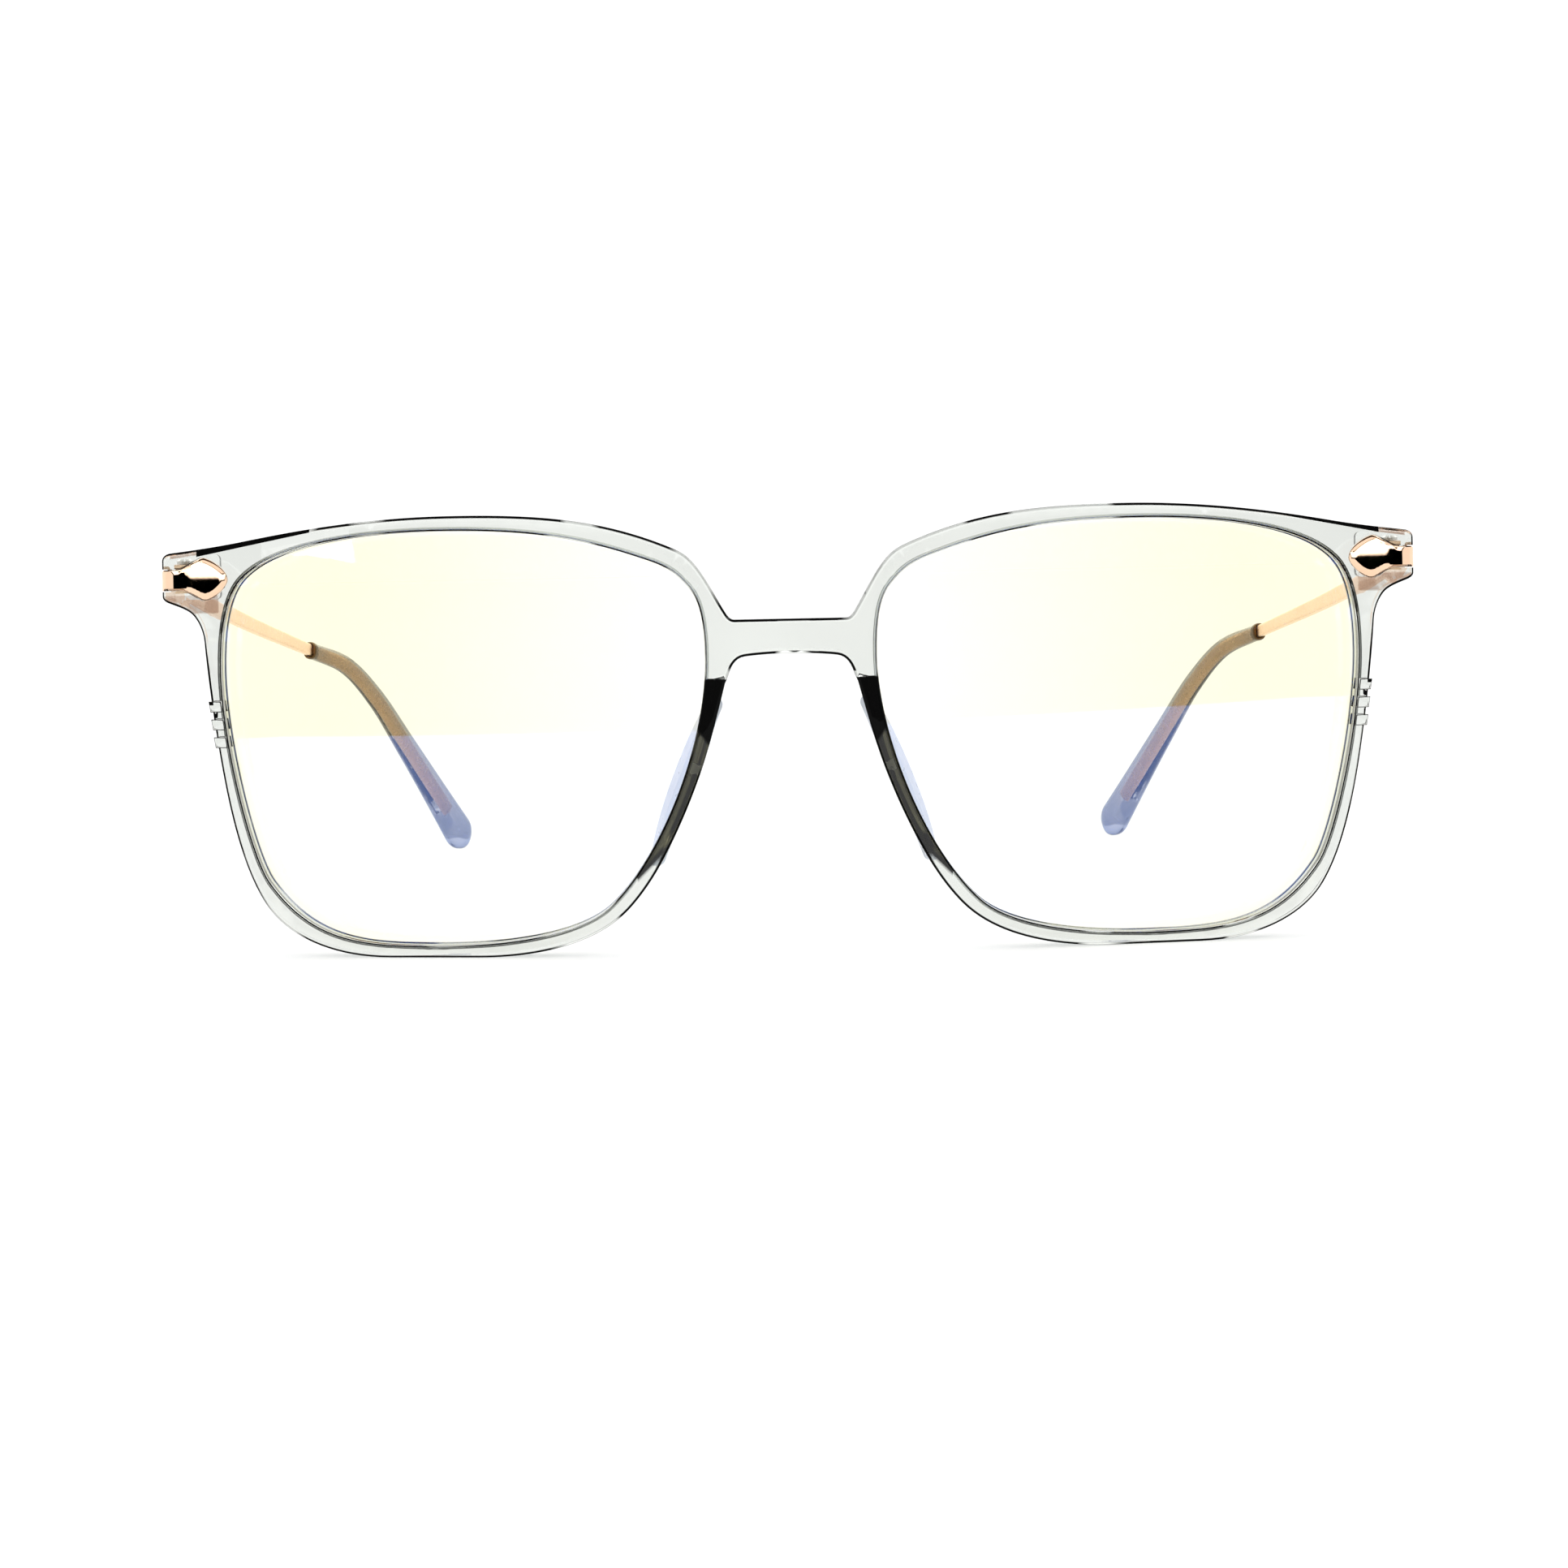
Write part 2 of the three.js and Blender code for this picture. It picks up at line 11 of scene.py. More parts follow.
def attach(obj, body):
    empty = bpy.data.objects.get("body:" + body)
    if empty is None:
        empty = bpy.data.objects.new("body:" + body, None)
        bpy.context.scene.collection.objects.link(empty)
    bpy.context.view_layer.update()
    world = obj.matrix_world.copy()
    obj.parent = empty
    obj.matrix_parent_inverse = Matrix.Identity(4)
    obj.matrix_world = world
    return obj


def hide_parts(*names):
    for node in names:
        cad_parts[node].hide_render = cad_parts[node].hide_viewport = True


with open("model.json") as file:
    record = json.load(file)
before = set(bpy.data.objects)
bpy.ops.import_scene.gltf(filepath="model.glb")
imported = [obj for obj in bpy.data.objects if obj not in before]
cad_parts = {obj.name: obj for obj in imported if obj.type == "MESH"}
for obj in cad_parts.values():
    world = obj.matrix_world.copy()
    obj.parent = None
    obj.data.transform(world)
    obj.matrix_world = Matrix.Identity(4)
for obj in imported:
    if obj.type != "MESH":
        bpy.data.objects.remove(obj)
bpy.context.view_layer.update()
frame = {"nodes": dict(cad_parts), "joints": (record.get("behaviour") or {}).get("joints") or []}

# Shapes are worked out in millimetres with y = 0 at the middle of the front's front face, then moved
# into the shared frame, in metres. The hinge is in both, and says how far they are apart.
MM = 0.001
HINGE_Y = 16.9
SHIFT_Y = frame["joints"][0]["pos_m"][1] / MM - HINGE_Y

# ---- camera ----------------------------------------------------------------------------------------
CAMERA_AT = (-3.021, -344.0, 44.2)
CAMERA_YAW = math.radians(0.3244)
CAMERA_PITCH = math.radians(4.115)
CAMERA_ROLL = math.radians(-1.134)
FOCAL_PX = 3784
IMAGE_PX = 1932
SENSOR = 36.0
NEAREST, FARTHEST = 0.005, 60


def make_camera():
    data = bpy.data.cameras.new("camera")
    data.sensor_width = SENSOR
    data.lens = FOCAL_PX / IMAGE_PX * SENSOR
    data.clip_start = NEAREST
    data.clip_end = FARTHEST
    camera = bpy.data.objects.new("camera", data)
    bpy.context.scene.collection.objects.link(camera)
    bpy.context.scene.camera = camera
    sy, cy = math.sin(CAMERA_YAW), math.cos(CAMERA_YAW)
    sp, cp = math.sin(CAMERA_PITCH), math.cos(CAMERA_PITCH)
    forward = Vector((sy * cp, cy * cp, -sp))
    right = Vector((cy, -sy, 0))
    up = right.cross(forward)
    sr, cr = math.sin(CAMERA_ROLL), math.cos(CAMERA_ROLL)
    axis_x = right * cr + up * sr
    axis_y = up * cr - right * sr
    turn = Matrix((axis_x, axis_y, -forward)).transposed()
    place = Vector((CAMERA_AT[0], CAMERA_AT[1] + SHIFT_Y, CAMERA_AT[2])) * MM
    camera.matrix_world = Matrix.Translation(place) @ turn.to_4x4()


make_camera()

# ---- outlines --------------------------------------------------------------------------------------
FACE_RADIUS = 250.0
FACE_CENTRE_Z = 24.5
RIM_DEPTH = 4.0
LENS_THICK = 1.8
LENS_FRONT_Y = 1.3
GROOVE_DEPTH = 0.45
FIT_GAP = 0.1
SEAT_Y = 14.4
END_X = 72.25
SEAT_X = 65.3
SEAT_Z = (41.2, 46.4)
SEAT_ROUND = 0.6
BAND_Z = 43.55
BAND_HEIGHT = 2.4
TRIM_X = END_X + 0.1
TRIM_SUNK = 0.85
TRIM_PROUD = 0.45
TRIM_WRAP = 0.9

OPENING = [
    (40, 48.55, 0, 9.1, 8.1), (62.6, 43.6, -44, 5.7, 1.2), (65.3, 33.0, -90, 7.5, 8.3),
    (60.3, 8.7, -125, 3.4, 8.3), (41, 1.4, 180, 8.9, 9.6), (20.8, 6.0, 136, 4.4, 8.4),
    (9.65, 33.8, 90, 9.1, 6.4), (12.0, 42.4, 48, 1.6, 2.2), (17.5, 45.35, 19, 2.6, 7.5),
]
OUTER = [
    (0, 38.0, 0, 0, 0), (6.3, 38.0, 0, 0, 0.4), (7.2, 38.7, 58, 0.4, 2.4), (10.9, 44.6, 48, 2.2, 1.3),
    (14.2, 46.6, 22, 1.8, 8), (38.5, 50.25, 0, 10, 9), (62.3, 47.9, -10, 7, 3), (71.2, 46.7, -6, 3, 0.6),
    (END_X, 45.8, -90, 0.5, 0), (END_X, 41.7, -90, 0, 0.4), (71.4, 40.9, -160, 0.4, 1),
    (68.9, 39.8, -145, 0.8, 0.8), (67.3, 36.4, -94, 1.6, 3), (66.0, 24.6, -98, 4, 6),
    (61.0, 6.2, -122, 5.5, 4), (46.5, 0, 180, 7.5, 0), (36, 0, 180, 0, 5.5), (18.9, 5.4, 134, 6, 5),
    (10.6, 20.1, 111, 5.5, 4), (7.1, 31.6, 106, 4, 1.1), (5.2, 33.8, 172, 1.1, 1), (0, 34.1, 180, 2, 0),
]
BAND_TOP = BAND_Z + BAND_HEIGHT / 2
BAND_BOTTOM = BAND_Z - BAND_HEIGHT / 2
TRIM = [
    (TRIM_X, BAND_TOP, 180, 0, 0), (70.3, BAND_TOP, 180, 0, 0.7), (67.3, 46.1, 165, 1.2, 0.3),
    (64.35, 43.5, -90, 1.5, 0.6), (67.1, 41.2, 0, 1.2, 0.6), (69.8, BAND_BOTTOM, 0, 1, 0),
    (TRIM_X, BAND_BOTTOM, 0, 0, 0),
]


def route(bends, closed, divisions):
    """Points along bends of (x, z, heading in degrees, handle before, handle after)."""
    points = [bends[0][:2]]
    last = len(bends) if closed else len(bends) - 1
    for i in range(last):
        ax, az, a_heading, _, a_after = bends[i]
        bx, bz, b_heading, b_before, _ = bends[(i + 1) % len(bends)]
        if a_after == 0 and b_before == 0:
            points.append((bx, bz))
            continue
        a, b = math.radians(a_heading), math.radians(b_heading)
        p = np.array([(ax, az), (ax + a_after * math.cos(a), az + a_after * math.sin(a)),
                      (bx - b_before * math.cos(b), bz - b_before * math.sin(b)), (bx, bz)])
        reach = float(np.linalg.norm(p[3] - p[0]))
        steps = max(divisions, int(reach / 0.8))
        for k in range(1, steps + 1):
            t = k / steps
            weights = np.array([(1 - t) ** 3, 3 * t * (1 - t) ** 2, 3 * t * t * (1 - t), t ** 3])
            points.append(tuple(weights @ p))
    if closed:
        points.pop()
    return np.array(points)


def mirror_loop(points):
    return (points * (-1, 1))[::-1]


def area(loop):
    x, z = loop[:, 0], loop[:, 1]
    return 0.5 * float(np.sum(x * np.roll(z, -1) - np.roll(x, -1) * z))


def wound(loop, ccw=True):
    return loop if (area(loop) > 0) == ccw else loop[::-1]


def distance_to(points, loop):
    """Distance from each point to a closed loop."""
    a, b = loop, np.roll(loop, -1, 0)
    ab = b - a
    rel = points[:, None, :] - a[None]
    t = np.clip((rel * ab).sum(2) / np.maximum((ab * ab).sum(1), 1e-12), 0, 1)
    near = a[None] + t[..., None] * ab[None]
    return np.sqrt(((points[:, None, :] - near) ** 2).sum(2)).min(1)


def inset(loop, d):
    """A counter-clockwise loop moved d to its inside, the same number of points. A clockwise loop grows."""
    if d == 0:
        return loop.copy()
    edge = np.roll(loop, -1, 0) - loop
    edge /= np.maximum(np.linalg.norm(edge, axis=1, keepdims=True), 1e-9)
    normal = np.stack([-edge[:, 1], edge[:, 0]], 1)
    mean = normal + np.roll(normal, 1, 0)
    length = np.linalg.norm(mean, axis=1, keepdims=True)
    mean /= np.maximum(length, 1e-9)
    moved = loop + mean * d / np.clip(length / 2, 0.6, 1)
    bad = distance_to(moved, loop) < abs(d) * 0.96
    if bad.any() and not bad.all():
        n = len(loop)
        start = int(np.argmin(bad))
        i = start
        while i < start + n:
            if bad[i % n]:
                j = i
                while bad[j % n]:
                    j += 1
                middle = (moved[(i - 1) % n] + moved[j % n]) / 2
                for k in range(i, j):
                    moved[k % n] = middle
                i = j
            i += 1
    return moved


def inside(points, loops):
    """Even-odd test of points against loops."""
    odd = np.zeros(len(points), bool)
    for loop in loops:
        a, b = loop, np.roll(loop, -1, 0)
        px, pz = points[:, None, 0], points[:, None, 1]
        spans = (a[None, :, 1] > pz) != (b[None, :, 1] > pz)
        rise = np.where(np.abs(b[:, 1] - a[:, 1]) < 1e-12, 1e-12, b[:, 1] - a[:, 1])
        crossing = a[None, :, 0] + (pz - a[None, :, 1]) * (b[:, 0] - a[:, 0]) / rise
        odd ^= (spans & (px < crossing)).sum(1) % 2 == 1
    return odd


def fill(loops, extra=None):
    """Triangles over the region between loops, with extra points inside it."""
    points, edges = [], []
    for loop in loops:
        base = len(points)
        points += [Vector(p) for p in loop]
        edges += [(base + i, base + (i + 1) % len(loop)) for i in range(len(loop))]
    if extra is not None:
        points += [Vector(p) for p in extra]
    out, _, tris, _, _, _ = delaunay_2d_cdt(points, edges, [], 0, 1e-7)
    flat = np.array([(v.x, v.y) for v in out])
    tris = np.array([t for t in tris if len(t) == 3])
    keep = inside(flat[tris].mean(1), loops)
    return flat, tris[keep]


# ---- meshes ----------------------------------------------------------------------------------------
def bend_y(x, z):
    return (x * x + (z - FACE_CENTRE_Z) ** 2) / (2 * FACE_RADIUS)


MERGE_MM = 2e-4
SHORTEST_EDGE = 1e-8


class Build:
    """Collects faces in millimetres, then makes one object in the shared frame."""

    def __init__(self):
        self.points = []
        self.faces = []

    def add(self, points, faces):
        base = sum(len(p) for p in self.points)
        self.points.append(np.asarray(points, float))
        self.faces += [tuple(base + int(i) for i in f) for f in faces]

    def cap(self, loops, y, extra=None):
        flat, tris = fill(loops, extra)
        depth = y(flat[:, 0], flat[:, 1]) if callable(y) else np.full(len(flat), float(y))
        self.add(np.stack([flat[:, 0], depth, flat[:, 1]], 1), tris)

    def wall(self, rows):
        """rows of equal-length rings of 3D points."""
        n = len(rows[0])
        faces = []
        for r in range(len(rows) - 1):
            for i in range(n):
                j = (i + 1) % n
                faces.append((r * n + i, r * n + j, (r + 1) * n + j, (r + 1) * n + i))
        self.add(np.concatenate(rows), faces)

    def make(self, name, bent=False, mirrored=False, warp=None):
        points = np.concatenate(self.points)
        if warp:
            points = warp(points)
        if bent:
            points[:, 1] += bend_y(points[:, 0], points[:, 2])
        points[:, 1] += SHIFT_Y
        if mirrored:
            points[:, 0] *= -1
        mesh = bpy.data.meshes.new(name)
        mesh.from_pydata((points * MM).tolist(), [], self.faces)
        bm = bmesh.new()
        bm.from_mesh(mesh)
        bmesh.ops.remove_doubles(bm, verts=bm.verts, dist=MERGE_MM * MM)
        bmesh.ops.dissolve_degenerate(bm, edges=bm.edges, dist=SHORTEST_EDGE)
        bmesh.ops.recalc_face_normals(bm, faces=bm.faces)
        bm.to_mesh(mesh)
        bm.free()
        obj = bpy.data.objects.new(name, mesh)
        bpy.context.scene.collection.objects.link(obj)
        return obj


def ring3(loop, y):
    depth = y(loop[:, 0], loop[:, 1]) if callable(y) else np.full(len(loop), float(y))
    return np.stack([loop[:, 0], depth, loop[:, 1]], 1)


def edge_rows(y0, y1, radius, steps):
    """(inset, y) from the front face round both edges to the back face."""
    rows = []
    for k in range(steps + 1):
        a = math.pi / 2 * k / steps
        rows.append((radius * (1 - math.sin(a)), y0 + radius * (1 - math.cos(a))))
    for k in range(steps + 1):
        a = math.pi / 2 * k / steps
        rows.append((radius * (1 - math.cos(a)), y1 - radius * (1 - math.sin(a))))
    return rows


def rounded_slab(outer, holes, y0, y1, radius, steps, groove=None, lean=None, hole_radius=None):
    """A front-view outline between y0 and y1 with rounded edges. Holes may have a groove.
    lean(loop) says how far each point of the outer wall has moved inward at the back face."""
    build = Build()
    outer = wound(outer, True)
    holes = [wound(h, False) for h in holes]
    rows = edge_rows(y0, y1, radius, steps)
    inward = inset(outer, 0.05) - outer
    inward /= np.maximum(np.linalg.norm(inward, axis=1, keepdims=True), 0.02)
    leaning = np.zeros(len(outer)) if lean is None else lean(outer)

    def outer_at(d, y):
        return inset(outer, d) + inward * (leaning * (y - y0) / (y1 - y0))[:, None]

    build.wall([ring3(outer_at(d, y), y) for d, y in rows])
    hole_rows = edge_rows(y0, y1, hole_radius or radius, steps)
    caps = [(rows[0], hole_rows[0][0]), (rows[-1], hole_rows[-1][0])]
    if groove:
        g0, g1, depth = groove
        middle = [(0, g0), (depth, g0), (depth, g1), (0, g1)]
        hole_rows = hole_rows[:steps + 1] + middle + hole_rows[steps + 1:]
    for hole in holes:
        build.wall([ring3(inset(hole, d), y) for d, y in hole_rows])
    for (d, y), hole_inset in caps:
        build.cap([outer_at(d, y)] + [inset(hole, hole_inset) for hole in holes], y)
    return build


def box_build(x0, x1, y0, y1, z0, z1):
    build = Build()
    points = [(x, y, z) for x in (x0, x1) for y in (y0, y1) for z in (z0, z1)]
    build.add(points, [(0, 1, 3, 2), (4, 6, 7, 5), (0, 4, 5, 1), (2, 3, 7, 6), (0, 2, 6, 4), (1, 5, 7, 3)])
    return build


def boolean(target, tool, operation):
    modifier = target.modifiers.new("join", "BOOLEAN")
    modifier.object = tool
    modifier.operation = operation
    modifier.solver = "MANIFOLD"
    bpy.context.view_layer.objects.active = target
    bpy.ops.object.modifier_apply(modifier=modifier.name)
    bpy.data.objects.remove(tool)


def smooth(obj, angle=32):
    mesh = obj.data
    mesh.shade_smooth()
    mesh.set_sharp_from_angle(angle=math.radians(angle))
    modifier = obj.modifiers.new("normals", "WEIGHTED_NORMAL")
    modifier.keep_sharp = True
    bpy.context.view_layer.objects.active = obj
    bpy.ops.object.modifier_apply(modifier=modifier.name)
    return obj


def rounded_rect(x0, x1, z0, z1, r, steps=5):
    corners = [(x1 - r, z1 - r, 0), (x0 + r, z1 - r, 90), (x0 + r, z0 + r, 180), (x1 - r, z0 + r, 270)]
    return np.array([(cx + r * math.cos(math.radians(a + 90 * k / steps)),
                      cz + r * math.sin(math.radians(a + 90 * k / steps)))
                     for cx, cz, a in corners for k in range(steps + 1)])


def circle(cx, cz, r, n=32):
    turn = np.linspace(0, 2 * math.pi, n, endpoint=False)
    return np.stack([cx + r * np.cos(turn), cz + r * np.sin(turn)], 1)


opening = route(OPENING, True, 12)
outer_half = route(OUTER, False, 8)
outline = np.concatenate([outer_half[1:], mirror_loop(outer_half)[1:-1]])
trim_loop = wound(route(TRIM, True, 10), True)


# ---- the clear front -------------------------------------------------------------------------------
RIM_ROUND = 0.5
OPENING_ROUND = 0.3
NOSE_SIDE_X = 17.5
RIDGE_BACK_Y = 5.6
RIDGE_Z = (10.5, 14.5, 27.0, 30.0)
WALL_LEAN = 1.45
LEAN_Z = (8.5, 15.0, 31.25)
END_BLOCK_Y = (RIM_DEPTH - 1, RIM_DEPTH + 3.5)
# The three notched blocks on the outer side of each rim, from the lowest up.
BLOCKS = 3
BLOCK_AT = (66.2, 24.9)
BLOCK_STEP = (0.25, 2.05)
BLOCK_WIDTH = 1.45
BLOCK_HEIGHT = 1.25
BLOCK_LEAN = 0.2
BLOCK_Y = (-0.3, RIM_DEPTH + 0.1)
BLOCK_ROUND = 0.18
LEAF_SCREW_X = 66.9
LEAF_SCREW_Z = (42.75, 44.45)
LEAF_SCREW_HOLE_R = 0.56
LEAF_SCREW_REACH = 3


def on_both_sides(target, make_build, operation):
    for mirrored in (False, True):
        boolean(target, make_build().make("tool", bent=True, mirrored=mirrored), operation)


def slab_build(loop, y0, y1):
    build = Build()
    build.wall([ring3(loop, y0), ring3(loop, y1)])
    build.cap([loop], y0)
    build.cap([loop], y1)
    return build


def stud_build(x, z, r, y0, y1):
    return slab_build(circle(x, z, r), y0, y1)


def ramp_up(v, low, high):
    t = np.clip((v - low) / (high - low), 0, 1)
    return t * t * (3 - 2 * t)


def nose_ridge(points):
    """The nose side is deeper at the back, to carry the nose pad."""
    x, y, z = points.T
    on = (np.abs(x) < NOSE_SIDE_X) & (y > RIM_DEPTH - 0.7)
    rise = ramp_up(z, *RIDGE_Z[:2]) * (1 - ramp_up(z, *RIDGE_Z[2:]))
    points[:, 1] += np.where(on, rise * (RIDGE_BACK_Y - RIM_DEPTH), 0)
    return points


def nose_lean(loop):
    """The wall that faces the nose leans outward to the back, up to a step under the bridge."""
    x, z = np.abs(loop[:, 0]), loop[:, 1]
    spare = distance_to(np.stack([x, z], 1), opening) - 2 * RIM_ROUND - 0.1
    lean = np.clip(spare, 0, WALL_LEAN) * ramp_up(z, *LEAN_Z[:2])
    return np.where((x < NOSE_SIDE_X) & (z < LEAN_Z[2]), lean, 0)


def make_front():
    groove = (LENS_FRONT_Y - FIT_GAP, LENS_FRONT_Y + LENS_THICK + FIT_GAP, GROOVE_DEPTH)
    holes = [opening, mirror_loop(opening)]
    front = rounded_slab(outline, holes, 0, RIM_DEPTH, RIM_ROUND, 6, groove, nose_lean, OPENING_ROUND)
    front = front.make("front_clear", bent=True, warp=nose_ridge)

    def end_block():
        loop = rounded_rect(SEAT_X, END_X, *SEAT_Z, SEAT_ROUND)
        return rounded_slab(loop, [], *END_BLOCK_Y, 0.01, 1)

    on_both_sides(front, end_block, "UNION")
    for row in range(BLOCKS):
        def block(row=row):
            x, z = (at + row * step for at, step in zip(BLOCK_AT, BLOCK_STEP))
            low, high = z - BLOCK_HEIGHT / 2, z + BLOCK_HEIGHT / 2
            loop = np.array([(x - BLOCK_WIDTH, low), (x, low),
                             (x + BLOCK_LEAN, high), (x - (BLOCK_WIDTH - BLOCK_LEAN), high)])
            return rounded_slab(loop, [], *BLOCK_Y, BLOCK_ROUND, 3)

        on_both_sides(front, block, "UNION")
    trim_grown = inset(trim_loop, -FIT_GAP)
    on_both_sides(front, lambda: slab_build(trim_grown, -2, TRIM_SUNK + FIT_GAP), "DIFFERENCE")
    on_both_sides(front, lambda: box_build(TRIM_X - TRIM_WRAP - FIT_GAP, END_X + 3, -2.5, 8,
                                           BAND_BOTTOM - FIT_GAP, BAND_TOP + FIT_GAP), "DIFFERENCE")
    for mirrored in (False, True):
        seat_cutter = box_build(SEAT_X - 0.6, END_X + 5, SEAT_Y, SEAT_Y + 9, 39, 49)
        boolean(front, seat_cutter.make("tool", mirrored=mirrored), "DIFFERENCE")
        for z in LEAF_SCREW_Z:
            drill = stud_build(LEAF_SCREW_X, z, LEAF_SCREW_HOLE_R,
                               SEAT_Y - LEAF_SCREW_REACH, SEAT_Y + LEAF_SCREW_REACH)
            boolean(front, drill.make("tool", mirrored=mirrored), "DIFFERENCE")
    return smooth(front)


front = make_front()

# ---- lenses ----------------------------------------------------------------------------------------


def grid(x0, x1, z0, z1, step):
    xs = np.arange(x0, x1, step)
    zs = np.arange(z0, z1, step)
    return np.array([(x, z) for x in xs for z in zs])


def plate(loop, y_front, y_back, step):
    """A plate with given front and back surfaces over an outline, fine enough to carry a curve."""
    build = Build()
    (x0, z0), (x1, z1) = loop.min(0), loop.max(0)
    spots = grid(x0 + step / 2, x1, z0 + step / 2, z1, step)
    spots = spots[inside(spots, [loop])]
    spots = spots[distance_to(spots, loop) > step * 0.45]
    build.cap([loop], y_front, spots)
    build.cap([loop], y_back, spots)
    build.wall([ring3(loop, y_front), ring3(loop, y_back)])
    return build


def make_lens(mirrored):
    loop = inset(wound(opening, False), GROOVE_DEPTH - FIT_GAP)
    loop = wound(loop, True)
    side = "left" if mirrored else "right"
    lens = plate(loop, LENS_FRONT_Y, LENS_FRONT_Y + LENS_THICK, 3.0)
    lens = smooth(lens.make(f"lens_clear_{side}", bent=True, mirrored=mirrored))
    for face in lens.data.polygons:
        face.material_index = 1 if abs(face.normal.y) < 0.6 else 0
    return lens


lenses = [make_lens(m) for m in (False, True)]

# ---- nose pads -------------------------------------------------------------------------------------
PAD_LENGTH = 21.4
PAD_REACH = 5.6
PAD_THICK = 1.7
PAD_SPLAY = math.radians(14)
PAD_LEAN = math.radians(-68.5)
PAD_CENTRE = (11.95, 19.15)
PAD_ROUND = 0.75
PEG_AT = (11.25, 21.2)
PEG_R = 0.6
PEG_DEPTH = 1.6
PEG_PROUD = 0.9


def bezier(p, steps):
    t = np.linspace(0, 1, steps + 1)[:-1, None]
    return (1 - t) ** 3 * p[0] + 3 * t * (1 - t) ** 2 * p[1] + 3 * t * t * (1 - t) * p[2] + t ** 3 * p[3]


def make_pad(mirrored):
    h = PAD_LENGTH / 2
    first = np.array([(-h, 0), (-h, PAD_REACH * 0.55), (-h * 0.6, PAD_REACH), (0, PAD_REACH)])
    second = np.array([(0, PAD_REACH), (h * 0.6, PAD_REACH), (h * 0.95, PAD_REACH * 0.4), (h, 0)])
    flat_edge = np.array([(h - 2 * h * k / 24, 0) for k in range(24)])
    loop = wound(np.concatenate([bezier(first, 24), bezier(second, 24), flat_edge]), True)
    build = Build()
    down = np.array([math.cos(PAD_LEAN), 0, math.sin(PAD_LEAN)])
    outward = np.array([-math.sin(PAD_LEAN), 0, math.cos(PAD_LEAN)])
    back = np.array([0, math.cos(PAD_SPLAY), 0]) + outward * math.sin(PAD_SPLAY)
    through = np.cross(down, back)
    seat = np.array([PAD_CENTRE[0], RIDGE_BACK_Y - 0.3, PAD_CENTRE[1]])

    def placed(points, t):
        return seat + points[:, :1] * down + points[:, 1:] * back + np.reshape(t, (-1, 1)) * through

    rows = []
    for d, t in edge_rows(-PAD_THICK / 2, PAD_THICK / 2, PAD_ROUND, 7):
        rows.append(placed(inset(loop, d), np.full(len(loop), t)))
    build.wall(rows)
    for t in (-PAD_THICK / 2, PAD_THICK / 2):
        flat, tris = fill([inset(loop, PAD_ROUND)])
        build.add(placed(flat, np.full(len(flat), t)), tris)
    side = "left" if mirrored else "right"
    pad = build.make(f"pad_soft_{side}", bent=True, mirrored=mirrored)
    peg = stud_build(*PEG_AT, PEG_R, RIDGE_BACK_Y - PEG_DEPTH, RIDGE_BACK_Y + PEG_PROUD)
    rim_side = box_build(0, 30, 0, RIDGE_BACK_Y + 0.05, 0, 40)
    boolean(pad, rim_side.make("tool", bent=True, mirrored=mirrored), "DIFFERENCE")
    boolean(pad, peg.make("tool", bent=True, mirrored=mirrored), "UNION")
    return smooth(pad)


pads = [make_pad(m) for m in (False, True)]

# ---- polished corner trims -------------------------------------------------------------------------
SPADE_ROLL = 13.5
SPADE_FLAT_Z = 43.1
SPADE_FADE_X = (68.5, 69.6)
BAND_EDGE = 0.28
SPADE_EDGE = 0.37
CURL_FROM_X = 70.6
TRIM_GRID = 0.22


def make_trim(mirrored):
    def front_y(x, z):
        d = distance_to(np.stack([x, z], 1), trim_loop)
        spade = ramp_up(-x, -SPADE_FADE_X[1], -SPADE_FADE_X[0])
        edge = np.clip(d / (BAND_EDGE + SPADE_EDGE * spade), 0, 1)
        dome = 1 - (1 - edge) ** 2
        roll = (z - SPADE_FLAT_Z) ** 2 / (2 * SPADE_ROLL) * spade
        curl = 0.25 * np.clip(x - CURL_FROM_X, 0, None) ** 2
        return -TRIM_PROUD * dome + roll + curl

    build = plate(trim_loop, front_y, TRIM_SUNK, TRIM_GRID)
    side = "left" if mirrored else "right"
    trim = build.make(f"trim_polished_{side}", bent=True, mirrored=mirrored)
    wrap = box_build(TRIM_X - TRIM_WRAP, TRIM_X, TRIM_SUNK - 0.05, 6, BAND_BOTTOM, BAND_TOP)
    boolean(trim, wrap.make("tool", bent=True, mirrored=mirrored), "UNION")
    cutter = box_build(60, 80, SEAT_Y - 0.05, 40, 30, 60)
    boolean(trim, cutter.make("tool", mirrored=mirrored), "DIFFERENCE")
    return smooth(trim)


trims = [make_trim(m) for m in (False, True)]

# ---- temples ---------------------------------------------------------------------------------------
TEMPLE = np.array([
    (71.75, 13.2, 44.1), (71.2, 50, 39.0), (67.4, 92, 33.2), (63.7, 102, 30.6), (60.8, 111, 25.6),
    (57.6, 122, 17.5), (51.2, 142.9, 0.92),
])
COLLAR_AT = 0.557
COLLAR_LENGTH = 0.009
CORE_END_AT = 0.93
# Width and height of each section, in millimetres.
ARM_WIDTH = 1.0
ARM_HEIGHT = (2.4, 1.65)
CORE_SIZE = (0.8, 1.2)
BORE_SIZE = (0.76, 1.16)
COLLAR_SIZE = (1.9, 2.45)
COLLAR_HOLE = (1.16, 1.85)
COLLAR_EASED = 0.2
TIP_ROUND_FROM = 0.94


